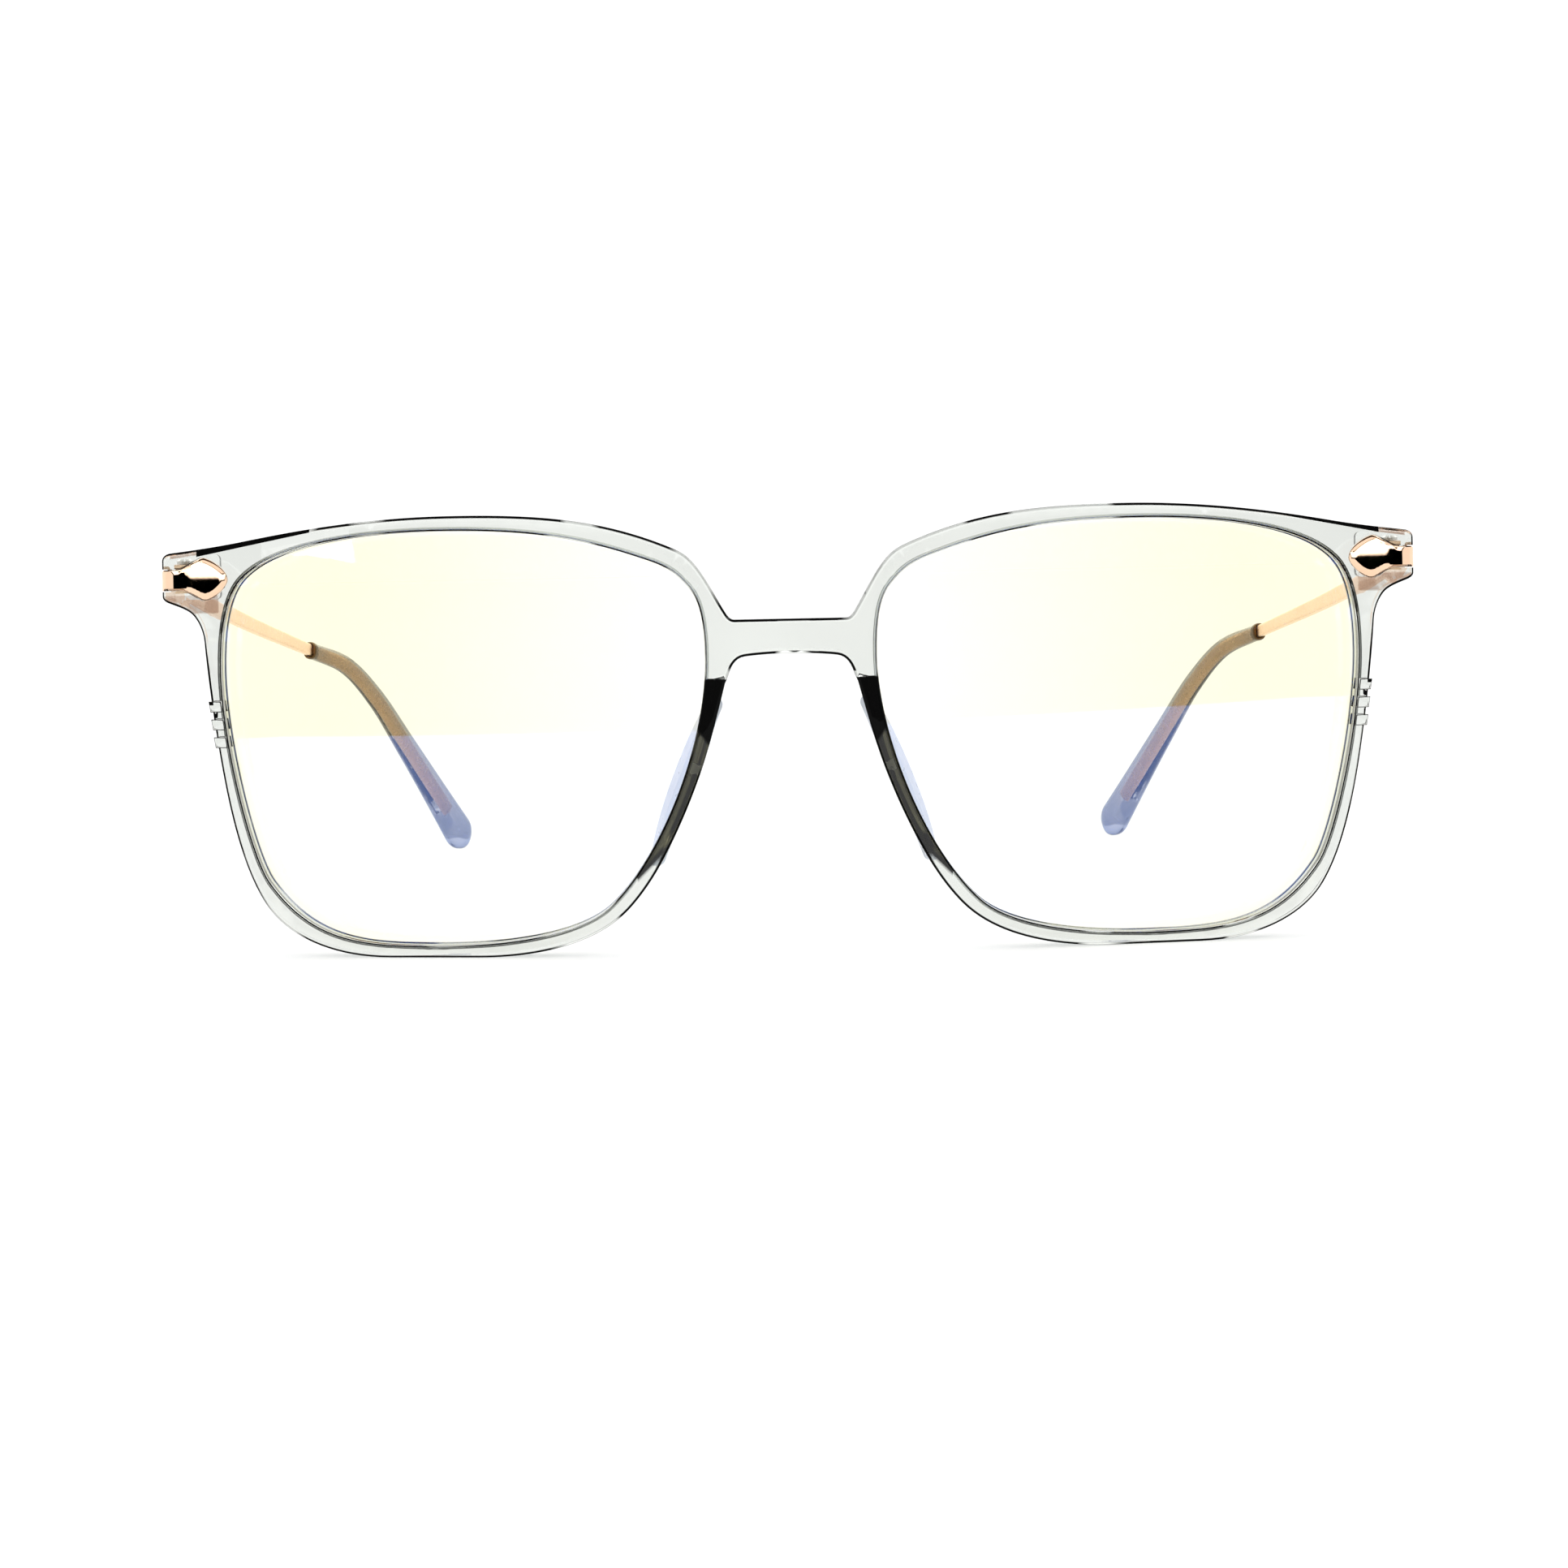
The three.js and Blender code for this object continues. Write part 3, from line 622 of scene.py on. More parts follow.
def dense_line(points, steps=200):
    padded = np.concatenate([[2 * points[0] - points[1]], points, [2 * points[-1] - points[-2]]])
    out = []
    for i in range(1, len(padded) - 2):
        x0, x1, x2, x3 = padded[i - 1:i + 3]
        d0, d1, d2 = (np.linalg.norm(b - a) ** 0.5 for a, b in ((x0, x1), (x1, x2), (x2, x3)))
        t1 = ((x1 - x0) / d0 - (x2 - x0) / (d0 + d1) + (x2 - x1) / d1) * d1
        t2 = ((x2 - x1) / d1 - (x3 - x1) / (d1 + d2) + (x3 - x2) / d2) * d1
        c2 = -3 * x1 + 3 * x2 - 2 * t1 - t2
        c3 = 2 * x1 - 2 * x2 + t1 + t2
        t = np.linspace(0, 1, steps, endpoint=False)[:, None]
        out.append(x1 + t1 * t + c2 * t ** 2 + c3 * t ** 3)
    return np.concatenate(out + [points[-1:]])


line = dense_line(TEMPLE)
line_length = np.concatenate([[0], np.cumsum(np.linalg.norm(np.diff(line, axis=0), axis=1))])
line_length /= line_length[-1]


def at(u):
    return np.array([np.interp(u, line_length, line[:, k]) for k in range(3)])


def swept(start, end, steps, size, sides=28, squareness=4.0):
    """An upright rounded section along part of the temple line. size(t) gives (width, height)."""
    rows = []
    for i in range(steps + 1):
        u = start + (end - start) * i / steps
        low, high = max(0, u - 0.002), min(1, u + 0.002)
        along = at(high) - at(low)
        along /= np.linalg.norm(along)
        side = np.cross(along, (0, 0, 1))
        side /= np.linalg.norm(side)
        up = np.cross(side, along)
        width, height = size(i / steps)
        turn = (np.arange(sides) + 0.5) / sides * 2 * math.pi
        c, s = np.cos(turn), np.sin(turn)
        across = np.sign(c) * np.abs(c) ** (2 / squareness) * width / 2
        rise = np.sign(s) * np.abs(s) ** (2 / squareness) * height / 2
        rows.append(at(u) + across[:, None] * side + rise[:, None] * up)
    build = Build()
    build.wall(rows)
    for row in (rows[0], rows[-1]):
        centre = row.mean(0)
        n = len(row)
        build.add(np.concatenate([row, [centre]]), [(k, (k + 1) % n, n) for k in range(n)])
    return build


def arm_size(t):
    return ARM_WIDTH, ARM_HEIGHT[0] + (ARM_HEIGHT[1] - ARM_HEIGHT[0]) * t


def tip_size(t):
    near_end = min(max(0.0, (t - TIP_ROUND_FROM) / 0.06), 0.985)
    rounding = math.sqrt(1 - near_end ** 2)
    return (1.75 + 1.2 * t + 1.25 * t ** 3) * rounding, (2.25 + 2.2 * t + 1.2 * t ** 3) * rounding


def collar_size(t):
    eased = COLLAR_EASED * (2 * t - 1) ** 4
    return COLLAR_SIZE[0] - eased, COLLAR_SIZE[1] - eased


def make_temple(mirrored):
    side = "left" if mirrored else "right"
    collar_end = COLLAR_AT + COLLAR_LENGTH
    arm = swept(0, collar_end, 60, arm_size).make(f"arm_satin_{side}", mirrored=mirrored)
    core = swept(COLLAR_AT, CORE_END_AT, 60, lambda t: CORE_SIZE, 20, 2.5)
    boolean(arm, core.make("tool", mirrored=mirrored), "UNION")
    end_cutter = box_build(60, 80, 0, SEAT_Y + 0.2, 30, 60)
    boolean(arm, end_cutter.make("tool", mirrored=mirrored), "DIFFERENCE")
    start = collar_end + 0.0005
    tip = swept(start, 0.999, 140, tip_size, 32, 2.4).make(f"tip_clear_{side}", mirrored=mirrored)
    bore = swept(start - 0.01, CORE_END_AT - 0.001, 60, lambda t: BORE_SIZE, 20, 2.5)
    boolean(tip, bore.make("tool", mirrored=mirrored), "DIFFERENCE")
    collar = swept(COLLAR_AT, collar_end, 8, collar_size, 36, 2.4)
    collar = collar.make(f"collar_polished_{side}", mirrored=mirrored)
    hole = swept(COLLAR_AT - 0.01, collar_end + 0.01, 3, lambda t: COLLAR_HOLE)
    boolean(collar, hole.make("tool", mirrored=mirrored), "DIFFERENCE")
    return smooth(arm, 40), smooth(tip, 50), smooth(collar, 40)


temples = [make_temple(m) for m in (False, True)]


# ---- materials -------------------------------------------------------------------------------------
class Nodes:
    """A short way to write the node tree of a material or a world."""

    def __init__(self, owner):
        self.owner = owner
        owner.use_nodes = True
        self.tree = owner.node_tree
        self.tree.nodes.clear()

    def node(self, kind, **settings):
        made = self.tree.nodes.new(kind)
        inputs = settings.pop("inputs", {})
        for key, value in settings.items():
            setattr(made, key, value)
        for key, value in inputs.items():
            self.put(made.inputs[key], value)
        return made

    def put(self, socket, value):
        if isinstance(value, bpy.types.NodeSocket):
            self.tree.links.new(value, socket)
        else:
            socket.default_value = value

    def noise(self, scale, detail=3, rough=0.5):
        place = self.node("ShaderNodeTexCoord")
        made = self.node("ShaderNodeTexNoise", inputs={
            "Vector": place.outputs["Object"], "Scale": scale, "Detail": detail, "Roughness": rough})
        return made.outputs["Fac"]

    def ramp(self, fac, stops):
        made = self.node("ShaderNodeValToRGB", inputs={"Fac": fac})
        elements = made.color_ramp.elements
        while len(elements) < len(stops):
            elements.new(0.5)
        for element, (position, colour) in zip(elements, stops):
            element.position = position
            element.color = colour if len(colour) == 4 else (*colour, 1)
        return made.outputs["Color"]

    def span(self, value, low, high, to_low, to_high):
        made = self.node("ShaderNodeMapRange", inputs={
            "Value": value, "From Min": low, "From Max": high, "To Min": to_low, "To Max": to_high})
        return made.outputs["Result"]

    def bump(self, height, strength, distance):
        made = self.node("ShaderNodeBump", inputs={
            "Height": height, "Strength": strength, "Distance": distance})
        return made.outputs["Normal"]

    def math(self, operation, a, b=0.0):
        made = self.node("ShaderNodeMath", operation=operation)
        self.put(made.inputs[0], a)
        self.put(made.inputs[1], b)
        return made.outputs[0]

    def mix(self, fac, a, b):
        made = self.node("ShaderNodeMix", data_type="RGBA")
        self.put(made.inputs[0], fac)
        self.put(made.inputs[6], a)
        self.put(made.inputs[7], b)
        return made.outputs[2]

    def finish(self, shader):
        out = self.node("ShaderNodeOutputMaterial")
        self.tree.links.new(shader, out.inputs["Surface"])
        return self.owner


def new_material(name):
    return Nodes(bpy.data.materials.new(name))


def let_light_through(n, shader, tint):
    """Shadow and diffuse rays pass the clear material straight, so that it throws a pale shadow."""
    path = n.node("ShaderNodeLightPath")
    either = n.math("MAXIMUM", path.outputs["Is Shadow Ray"], path.outputs["Is Diffuse Ray"])
    pane = n.node("ShaderNodeBsdfTransparent", inputs={"Color": tint})
    mixed = n.node("ShaderNodeMixShader", inputs={0: either, 1: shader, 2: pane.outputs[0]})
    return mixed.outputs[0]


def within(n, value, low, high):
    return n.math("MULTIPLY", n.math("GREATER_THAN", value, low), n.math("LESS_THAN", value, high))


def face_level(n):
    """1 on the faces of the front, 0 on its walls, from how far the surface is turned away from the
    front's own curve."""
    place = n.node("ShaderNodeTexCoord").outputs["Object"]
    curve = n.node("ShaderNodeVectorMath", operation="SUBTRACT", inputs={
        0: place, 1: (0, (SHIFT_Y + FACE_RADIUS) * MM, FACE_CENTRE_Z * MM)})
    outward = n.node("ShaderNodeVectorMath", operation="NORMALIZE", inputs={0: curve.outputs[0]})
    turned = n.node("ShaderNodeVectorMath", operation="DOT_PRODUCT", inputs={
        0: outward.outputs[0], 1: n.node("ShaderNodeNewGeometry").outputs["Normal"]})
    return n.math("ABSOLUTE", turned.outputs["Value"])


# Places of the painted black lines, painted shade and painted reflections on the front, in metres. "Aside"
# is measured from the middle, "height" from the table.
BRIDGE_ASIDE, BRIDGE_ABOVE = 0.0085, 0.032
BLOCKS_ASIDE, BLOCKS_HEIGHT = (0.0638, 0.0668), (0.0240, 0.0300)
# A line is where height + slope * aside, or aside - slope * height, is past a value.
TOP_LINE_SLOPE, TOP_LINE_FROM, TOP_LINE_ASIDE = 0.185, 0.05880, (0.0545, 0.0680)
TOP_LINE_THINNER = 0.00020
SIDE_LINE_SLOPE, SIDE_LINE_FROM, SIDE_LINE_HEIGHT = 0.11, 0.06306, (0.0292, 0.0372)
GAP_START, GAP_HALF, GAPS_HEIGHT = 0.024905, 0.13, (0.0252, 0.0288)
GAP_ENDS = ((0.0640, 0.0646), (0.0659, 0.0668))
UNDER_TRIM_ASIDE, UNDER_TRIM_HEIGHT = (0.0655, 0.0722), (0.0397, 0.0417)
OVER_TRIM_SLOPE, OVER_TRIM_ASIDE, OVER_TRIM_HEIGHT = 0.13, (0.0674, 0.0712), (0.05525, 0.05578)
NOSE_ASIDE, NOSE_HEIGHT = 0.0178, (0.0085, 0.0313)
NOSE_LOW_FADE = (0.0262, 0.0290)
NOSE_TOP_SLOPE, NOSE_TOP_FADE = 1.44, (0.0100, 0.0106)
PAINTED_DARK_LEVEL = (0.32, 0.38)

# Painted black, for the painted reflection of the dark room on the edges and the nose side.
PAINTED_BLACK = (0.003, 0.003, 0.003, 1)
# Painted olive, for the painted reflection of the dark room on the lower nose side.
NOSE_REFLECTION_OLIVE = (0.098, 0.092, 0.048)
# Painted brown, for the painted reflection of the corner metal.
PAINTED_METAL_BROWN = (0.37, 0.27, 0.21, 1)


def painted_dark_edges(n, level, aside, height):
    """1 where painted black lines go on the rounded edges of the front, 0 on its faces. The lines are a
    painted reflection of the dark room, where light would leave the plastic sideways. Long stretches of
    edge stay clear. The bridge, the notched blocks and some stretches have the darkest painted edges, with
    painted dark specks on the blocks."""
    share = n.ramp(level, [(0.86, (1, 1, 1)), (0.95, (0, 0, 0))])
    heavy = n.ramp(level, [(0.90, (1, 1, 1)), (0.95, (0, 0, 0))])
    thin = n.math("MULTIPLY", share, n.span(n.noise(75, 1), 0.46, 0.50, 0.3, 1.0))
    stretches = n.span(n.noise(55, 1), 0.52, 0.55, 0.0, 1.0)
    bridge = n.math("MULTIPLY", n.math("LESS_THAN", aside, BRIDGE_ASIDE),
                    n.math("GREATER_THAN", height, BRIDGE_ABOVE))
    dashes = n.math("MULTIPLY", bridge, n.span(n.noise(330, 0), 0.44, 0.50, 0.0, 1.0))
    blocks = n.math("MULTIPLY", within(n, aside, *BLOCKS_ASIDE), within(n, height, *BLOCKS_HEIGHT))
    block_painted_specks = n.math("MULTIPLY", blocks, n.span(n.noise(900, 1), 0.46, 0.54, 0.0, 1.0))
    painted_dark_mask = n.math("MAXIMUM", n.math("MAXIMUM", stretches, dashes), block_painted_specks)
    return n.math("MAXIMUM", thin, n.math("MULTIPLY", heavy, painted_dark_mask))


def painted_black_lines(n, x, aside, height):
    """1 on the painted black lines along the top edge beside each corner trim and along the outer side
    under it, a painted reflection of the dark room, and on the painted shade at the dark ends of the two
    gaps between the notched blocks. The top line is thinner where x is above 0."""
    thinner = n.math("MULTIPLY", n.math("GREATER_THAN", x, 0.0), TOP_LINE_THINNER)
    line_edge = n.math("ADD", TOP_LINE_FROM, thinner)
    slanted = n.math("ADD", height, n.math("MULTIPLY", aside, TOP_LINE_SLOPE))
    top = n.math("GREATER_THAN", slanted, line_edge)
    top = n.math("MULTIPLY", top, within(n, aside, *TOP_LINE_ASIDE))
    upright = n.math("SUBTRACT", aside, n.math("MULTIPLY", height, SIDE_LINE_SLOPE))
    side = n.math("GREATER_THAN", upright, SIDE_LINE_FROM)
    side = n.math("MULTIPLY", side, within(n, height, *SIDE_LINE_HEIGHT))
    lines = n.math("MAXIMUM", top, side)
    rows = n.math("DIVIDE", n.math("SUBTRACT", height, GAP_START), BLOCK_STEP[1] * MM)
    off_middle = n.math("SUBTRACT", n.math("FRACT", rows), 0.5)
    gap = n.math("LESS_THAN", n.math("ABSOLUTE", off_middle), GAP_HALF)
    gap = n.math("MULTIPLY", gap, within(n, height, *GAPS_HEIGHT))
    ends = n.math("MAXIMUM", *(within(n, aside, *end) for end in GAP_ENDS))
    return n.math("MAXIMUM", lines, n.math("MULTIPLY", gap, ends))


def painted_metal_patches(n, aside, height):
    """Painted reflection of the metal behind the corner, as the clear plastic would bend it, broken up: a
    strip along the top and a patch under the trim."""
    under = n.math("MULTIPLY", within(n, aside, *UNDER_TRIM_ASIDE), within(n, height, *UNDER_TRIM_HEIGHT))
    under = n.math("MULTIPLY", under, n.span(n.noise(420, 2), 0.40, 0.48, 0.1, 0.75))
    slanted = n.math("ADD", height, n.math("MULTIPLY", aside, OVER_TRIM_SLOPE))
    over = n.math("MULTIPLY", within(n, aside, *OVER_TRIM_ASIDE), within(n, slanted, *OVER_TRIM_HEIGHT))
    over = n.math("MULTIPLY", over, n.span(n.noise(600, 2), 0.36, 0.46, 0.2, 1.0))
    return n.math("MAXIMUM", under, over)


PLASTIC_IOR = 1.5


def object_place(n):
    """x, the distance from the middle, and the height above the table."""
    place = n.node("ShaderNodeTexCoord")
    parts = n.node("ShaderNodeSeparateXYZ", inputs={0: place.outputs["Object"]})
    return parts.outputs["X"], n.math("ABSOLUTE", parts.outputs["X"]), parts.outputs["Z"]


def facing_away(n):
    return n.node("ShaderNodeLayerWeight", inputs={"Blend": 0.5}).outputs["Facing"]


def clear_body(n, colour, facing, from_facing, painted_grazing_dark):
    """Clear plastic. Its colour is painted dark where it is seen along its surface, a painted dark
    reflection in place of what thick clear edges show.
    """
    colour = n.mix(n.span(facing, from_facing, from_facing + 0.45, 0.0, 1.0), colour, painted_grazing_dark)
    body = n.node("ShaderNodeBsdfPrincipled", inputs={
        "Base Color": colour, "Transmission Weight": 1.0, "IOR": PLASTIC_IOR,
        "Roughness": n.span(n.noise(900, 3), 0.4, 0.8, 0.0, 0.03),
        "Normal": n.bump(n.noise(260, 2), 0.06, 0.0004)})
    return body.outputs[0]


def clear_front(name, tint, shadow_tint):
    """Clear plastic with painted reflections: black and olive on the nose side for the dark room it would
    mirror, brown patches at the corners for the metal seen through it, and painted black edges.
    """
    n = new_material(name)
    x, aside, height = object_place(n)
    facing = facing_away(n)
    colour = n.ramp(n.noise(60, 2), [(0.35, tint), (0.65, tuple(min(1, c * 1.05) for c in tint))])
    # Painted reflection: the nose side is painted black and olive where the clear plastic would mirror the
    # dark room, with a painted black line along its top.
    nose = n.ramp(n.span(n.math("ADD", height, aside), *NOSE_LOW_FADE, 0.0, 1.0), [
        (0.0, tint), (0.18, PAINTED_BLACK), (0.32, PAINTED_BLACK), (0.45, NOSE_REFLECTION_OLIVE)])
    slanted = n.math("SUBTRACT", height, n.math("MULTIPLY", aside, NOSE_TOP_SLOPE))
    nose_top = n.span(slanted, *NOSE_TOP_FADE, 0.0, 1.0)
    nose = n.mix(nose_top, nose, PAINTED_BLACK)
    nose_side = n.math("MULTIPLY", n.math("LESS_THAN", aside, NOSE_ASIDE), within(n, height, *NOSE_HEIGHT))
    colour = n.mix(nose_side, colour, nose)
    # Painted reflection of the corner metal, in brown.
    colour = n.mix(painted_metal_patches(n, aside, height), colour, PAINTED_METAL_BROWN)
    level = face_level(n)
    # Painted black lines on the edges: a painted reflection of the dark room where light would leave the
    # plastic sideways.
    painted_dark_mask = n.math("MAXIMUM", painted_dark_edges(n, level, aside, height), painted_black_lines(n, x, aside, height))
    painted_dark_mask = n.math("MULTIPLY", painted_dark_mask, n.span(level, *PAINTED_DARK_LEVEL, 0.0, 1.0))
    painted_dark_mask = n.math("MAXIMUM", painted_dark_mask, n.math("MULTIPLY", n.math("MULTIPLY", nose_top, nose_side), 0.9))
    body = clear_body(n, colour, facing, 0.35, (0.006, 0.006, 0.006, 1))
    # A black diffuse shader, mixed in where the painted dark lines go.
    painted_black_shader = n.node("ShaderNodeBsdfDiffuse", inputs={"Color": PAINTED_BLACK, "Roughness": 0.4})
    shader = n.node("ShaderNodeMixShader", inputs={0: painted_dark_mask, 1: body, 2: painted_black_shader.outputs[0]}).outputs[0]
    return n.finish(let_light_through(n, shader, shadow_tint))


def clear_tip(name, tint, shadow_tint):
    """Clear plastic, brown at the top and bluer and darker towards the table."""
    n = new_material(name)
    _, _, height = object_place(n)
    facing = facing_away(n)
    along = n.math("ADD", height, n.math("MULTIPLY", n.noise(200, 2), 0.002))
    r, g, b = tint
    colour = n.ramp(n.span(along, 0.001, 0.036, 0.0, 1.0), [
        (0.0, (r * 0.30, g * 0.36, b * 0.62)), (0.14, (r * 0.55, g * 0.62, b * 0.9)),
        (0.28, (r * 0.9, g * 0.9, b * 1.1)), (0.5, (r, g, b)), (0.8, (r * 1.1, g * 1.08, b * 0.95))])
    body = clear_body(n, colour, facing, 0.3, (0.03, 0.05, 0.12, 1))
    return n.finish(let_light_through(n, body, shadow_tint))


# Painted light: the lens tint pales towards the nose, for the brighter backdrop seen through it.
LENS_PAINTED_LIGHT_FADE = (0.014, 0.054)
LENS_PAINTED_LIT_INNER = (0.985, 0.975, 0.915, 1)
LENS_OUTER = (0.977, 0.957, 0.830, 1)


def lens_coating(name):
    """A coat that mirrors violet-blue and lets the rest of the light pass. It looks more yellow towards the
    temples and whiter beside the nose; the whiter part is painted light, a brighter backdrop seen through
    the lens there."""
    n = new_material(name)
    _, aside, _ = object_place(n)
    outward = n.math("ADD", aside, n.math("MULTIPLY", n.noise(25, 2), 0.004))
    tint = n.mix(n.span(outward, *LENS_PAINTED_LIGHT_FADE, 0.0, 1.0), LENS_PAINTED_LIT_INNER, LENS_OUTER)
    pane = n.node("ShaderNodeBsdfTransparent", inputs={"Color": tint})
    facing = facing_away(n)
    head_on = n.ramp(n.noise(30, 2), [(0.3, (0.010, 0.032, 0.125)), (0.7, (0.014, 0.032, 0.115))])
    colour = n.mix(n.span(facing, 0.5, 1.0, 0.0, 1.0), head_on, (0.8, 0.8, 0.9, 1))
    sheen = n.node("ShaderNodeBsdfGlossy", inputs={
        "Color": colour, "Roughness": n.span(n.noise(400, 3), 0.5, 0.9, 0.0, 0.01)})
    both = n.node("ShaderNodeAddShader")
    n.put(both.inputs[0], pane.outputs[0])
    n.put(both.inputs[1], sheen.outputs[0])
    return n.finish(let_light_through(n, both.outputs[0], (0.96, 0.96, 0.93, 1)))


def lens_painted_dark_edge(name):
    """The edge of a lens, which the rim's groove holds, painted dark grey for the dark line that refraction
    shows at the opening's edge.
    """
    n = new_material(name)
    body = n.node("ShaderNodeBsdfPrincipled", inputs={
        "Base Color": n.ramp(n.noise(800, 3), [(0.3, (0.20, 0.20, 0.20)), (0.7, (0.30, 0.30, 0.30))]),
        "Roughness": n.span(n.noise(1500, 3), 0.3, 0.7, 0.4, 0.6)})
    return n.finish(let_light_through(n, body.outputs[0], (0.9, 0.9, 0.9, 1)))


METAL_GRAIN = 1500


def metal(name, dark, light, rough, relief=0.05):
    n = new_material(name)
    colour = n.ramp(n.noise(180, 4), [(0.3, dark), (0.7, light)])
    body = n.node("ShaderNodeBsdfPrincipled", inputs={
        "Base Color": colour, "Metallic": 1.0,
        "Roughness": n.span(n.noise(METAL_GRAIN, 5, 0.7), 0.3, 0.7, *rough),
        "Normal": n.bump(n.noise(METAL_GRAIN * 2, 3), relief, 0.0001)})
    return n.finish(body.outputs[0])


def soft_pad(name):
    n = new_material(name)
    colour = n.ramp(n.noise(300, 3), [(0.3, (0.60, 0.63, 0.68)), (0.7, (0.68, 0.70, 0.745))])
    body = n.node("ShaderNodeBsdfPrincipled", inputs={
        "Base Color": colour, "Transmission Weight": 0.75, "IOR": 1.41,
        "Roughness": n.span(n.noise(700, 3), 0.3, 0.7, 0.25, 0.4),
        "Normal": n.bump(n.noise(1500, 3), 0.1, 0.0001)})
    return n.finish(let_light_through(n, body.outputs[0], (0.93, 0.95, 0.98, 1)))


front_plastic = clear_front("front_plastic", (0.735, 0.755, 0.722), (0.84, 0.85, 0.845, 1))
tip_plastic = clear_tip("tip_plastic", (0.45, 0.42, 0.36), (0.95, 0.95, 0.945, 1))
# The lens edge is painted dark grey, a painted dark line at the opening's edge.
lens_edge_painted_dark = lens_painted_dark_edge("lens_edge_painted_dark")
lens_glass = lens_coating("lens_glass")
rose_gold = metal("rose_gold", (0.93, 0.63, 0.43), (0.97, 0.69, 0.49), (0.02, 0.07), relief=0.012)
satin_gold = metal("satin_gold", (0.93, 0.66, 0.48), (0.96, 0.71, 0.53), (0.22, 0.36))
bronze = metal("dark_gold", (0.055, 0.03, 0.014), (0.11, 0.065, 0.03), (0.15, 0.3))
steel = metal("steel", (0.62, 0.60, 0.57), (0.72, 0.70, 0.67), (0.2, 0.4))
silicone = soft_pad("silicone")


def dress(obj, material):
    kept = [face.material_index for face in obj.data.polygons]
    obj.data.materials.clear()
    obj.data.materials.append(material)
    obj.data.polygons.foreach_set("material_index", kept)


def stand_for(obj, material, body, nodes):
    dress(obj, material)
    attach(obj, body)
    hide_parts(*nodes)


stand_for(front, front_plastic, "front", ["front_frame"])
for side, lens, pad, trim, (arm, tip, collar) in zip(("right", "left"), lenses, pads, trims, temples):
    stand_for(lens, lens_glass, "front", [f"lens_{side}"])
    stand_for(pad, silicone, "front", [f"nose_pad_{side}"])
    lens.data.materials.append(lens_edge_painted_dark)
    stand_for(trim, rose_gold, "front", [f"corner_trim_{side}"])
    stand_for(arm, satin_gold, f"temple_{side}", [f"temple_arm_{side}"])
    stand_for(tip, tip_plastic, f"temple_{side}", [f"temple_tip_{side}"])
    stand_for(collar, bronze, f"temple_{side}", [f"tip_collar_{side}"])
    for node, look in (("hinge_front_leaf", rose_gold), ("hinge_temple_leaf", rose_gold),
                       ("hinge_screw", steel), ("leaf_screw_lower", steel), ("leaf_screw_upper", steel)):
        cad = frame["nodes"][f"{node}_{side}"]
        for slot in cad.material_slots:
            slot.material = look

# ---- floor, backdrop and light ---------------------------------------------------------------------
WHITE = 1.15  # brightness of the backdrop
# The table's near edge, in millimetres: a line through a point, with its slope seen from above.
TABLE_EDGE_AT = (-245, -500)
TABLE_EDGE_SLOPE = -0.424
TABLE_EDGE_X = (-0.9, 0.9)
TABLE_HALF_WIDTH = 6
TABLE_FAR_Y = 12


def make_floor():
    mesh = bpy.data.meshes.new("floor")
    near = [(x, (TABLE_EDGE_AT[1] + TABLE_EDGE_SLOPE * (x * 1000 - TABLE_EDGE_AT[0]) + SHIFT_Y) * MM)
            for x in TABLE_EDGE_X]
    corners = [(*near[0], 0), (*near[1], 0), (TABLE_HALF_WIDTH, near[1][1], 0),
               (TABLE_HALF_WIDTH, TABLE_FAR_Y, 0), (-TABLE_HALF_WIDTH, TABLE_FAR_Y, 0),
               (-TABLE_HALF_WIDTH, near[0][1], 0)]
    mesh.from_pydata(corners, [], [(0, 1, 2, 3, 4, 5)])
    floor = bpy.data.objects.new("floor", mesh)
    bpy.context.scene.collection.objects.link(floor)
    n = new_material("floor_paper")
    colour = n.ramp(n.noise(9, 4), [(0.3, (0.955, 0.957, 0.96)), (0.7, (0.97, 0.97, 0.97))])
    body = n.node("ShaderNodeBsdfPrincipled", inputs={
        "Base Color": colour, "Roughness": 0.8, "Specular IOR Level": 0.1,
        "Normal": n.bump(n.noise(1500, 2), 0.04, 0.0002)})
    floor.data.materials.append(n.finish(body.outputs[0]))


make_floor()

LAMP_LIGHT = 2.4
CEILING_LIGHT = 1.05
WALL_LIGHT = 1.05
ROOM_LIGHT = 0.25
WINDOW_LIGHT = 1.6
WINDOW_X = (-0.585, -0.497)
WINDOW_ABOVE = 0.155


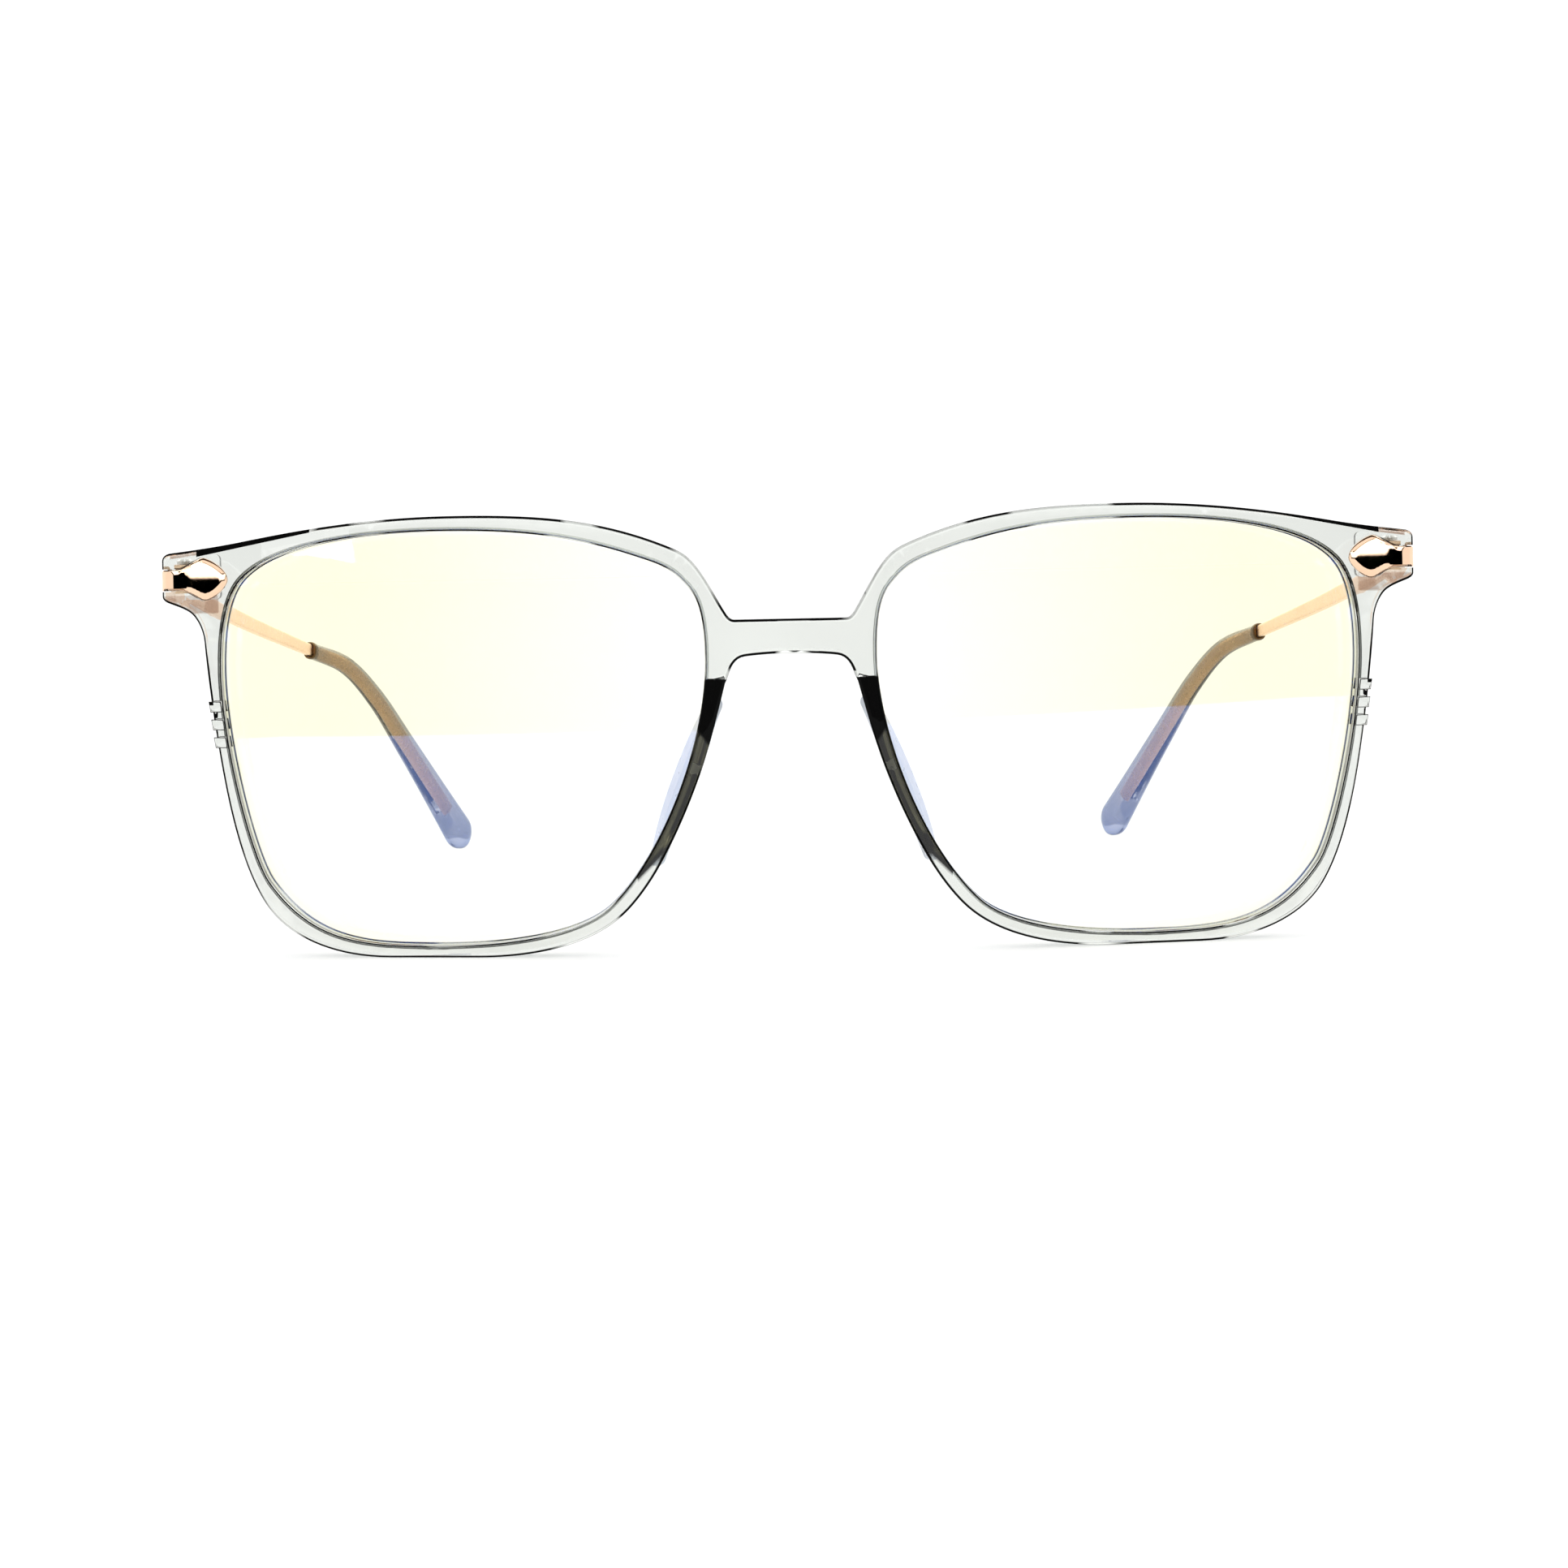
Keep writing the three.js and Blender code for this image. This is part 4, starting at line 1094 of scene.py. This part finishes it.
def make_world():
    world = bpy.data.worlds.new("studio")
    bpy.context.scene.world = world
    n = Nodes(world)
    place = n.node("ShaderNodeTexCoord")
    parts = n.node("ShaderNodeSeparateXYZ", inputs={0: place.outputs["Generated"]})
    path = n.node("ShaderNodeLightPath")
    x, y, z = parts.outputs["X"], parts.outputs["Y"], parts.outputs["Z"]
    aside = n.math("ABSOLUTE", x)
    # Light mirrored inside the clear plastic that leaves to the sides meets the dark room there, and
    # shows as dark edges. All other light behind the plastic is the white backdrop.
    inner = n.math("GREATER_THAN", path.outputs["Glossy Depth"], 0.5)
    sideways = n.span(n.math("ABSOLUTE", y), 0.80, 0.88, 0.99, 0.0)
    through = n.math("MULTIPLY", n.math("SUBTRACT", 1.0, n.math("MULTIPLY", inner, sideways)), WHITE)
    # What shiny parts mirror: a bright ceiling and side walls, and a darker room behind the camera.
    ahead = n.span(y, -0.25, 0.05, 0.0, WHITE)
    lamp = n.math("MULTIPLY", n.span(z, 0.20, 0.25, 0.0, LAMP_LIGHT), n.math(
        "MULTIPLY", n.span(z, 0.76, 0.78, 1.0, 0.0), n.span(aside, 0.71, 0.73, 1.0, 0.0)))
    ceiling = n.span(z, 0.83, 0.85, 0.0, CEILING_LIGHT)
    walls = n.span(aside, 0.77, 0.79, 0.0, WALL_LIGHT)
    room = n.span(aside, 0.12, 0.42, ROOM_LIGHT, 0.0)
    window = n.math("MULTIPLY", within(n, x, *WINDOW_X), n.math("GREATER_THAN", z, WINDOW_ABOVE))
    room = n.math("MAXIMUM", room, n.math("MULTIPLY", window, WINDOW_LIGHT))
    mirrored = n.math("MAXIMUM", n.math("MAXIMUM", ahead, n.math("MAXIMUM", lamp, ceiling)),
                      n.math("MAXIMUM", walls, room))
    seen = n.math("MULTIPLY", path.outputs["Is Transmission Ray"], through)
    glossy = n.math("MULTIPLY", path.outputs["Is Glossy Ray"], mirrored)
    plain = n.math("MULTIPLY", path.outputs["Is Camera Ray"], WHITE)
    lit = n.math("MULTIPLY", path.outputs["Is Diffuse Ray"], WHITE)
    level = n.math("MAXIMUM", n.math("MAXIMUM", seen, glossy), n.math("MAXIMUM", plain, lit))
    background = n.node("ShaderNodeBackground", inputs={"Color": (1, 1, 1, 1), "Strength": level})
    out = n.node("ShaderNodeOutputWorld")
    n.tree.links.new(background.outputs[0], out.inputs["Surface"])


make_world()


def area_light(name, place, target, size, power):
    data = bpy.data.lights.new(name, "AREA")
    data.shape = "RECTANGLE"
    data.size, data.size_y = size
    data.energy = power
    lamp = bpy.data.objects.new(name, data)
    bpy.context.scene.collection.objects.link(lamp)
    lamp.location = place
    aim = Vector(target) - Vector(place)
    lamp.rotation_euler = aim.to_track_quat("-Z", "Y").to_euler()


area_light("overhead", (0.3, 0.2, 3.0), (0, 0.2, 0), (4, 4), 4.0)

view = bpy.context.scene.view_settings
view.view_transform = "Standard"
view.look = "None"
view.exposure = 0
view.gamma = 1
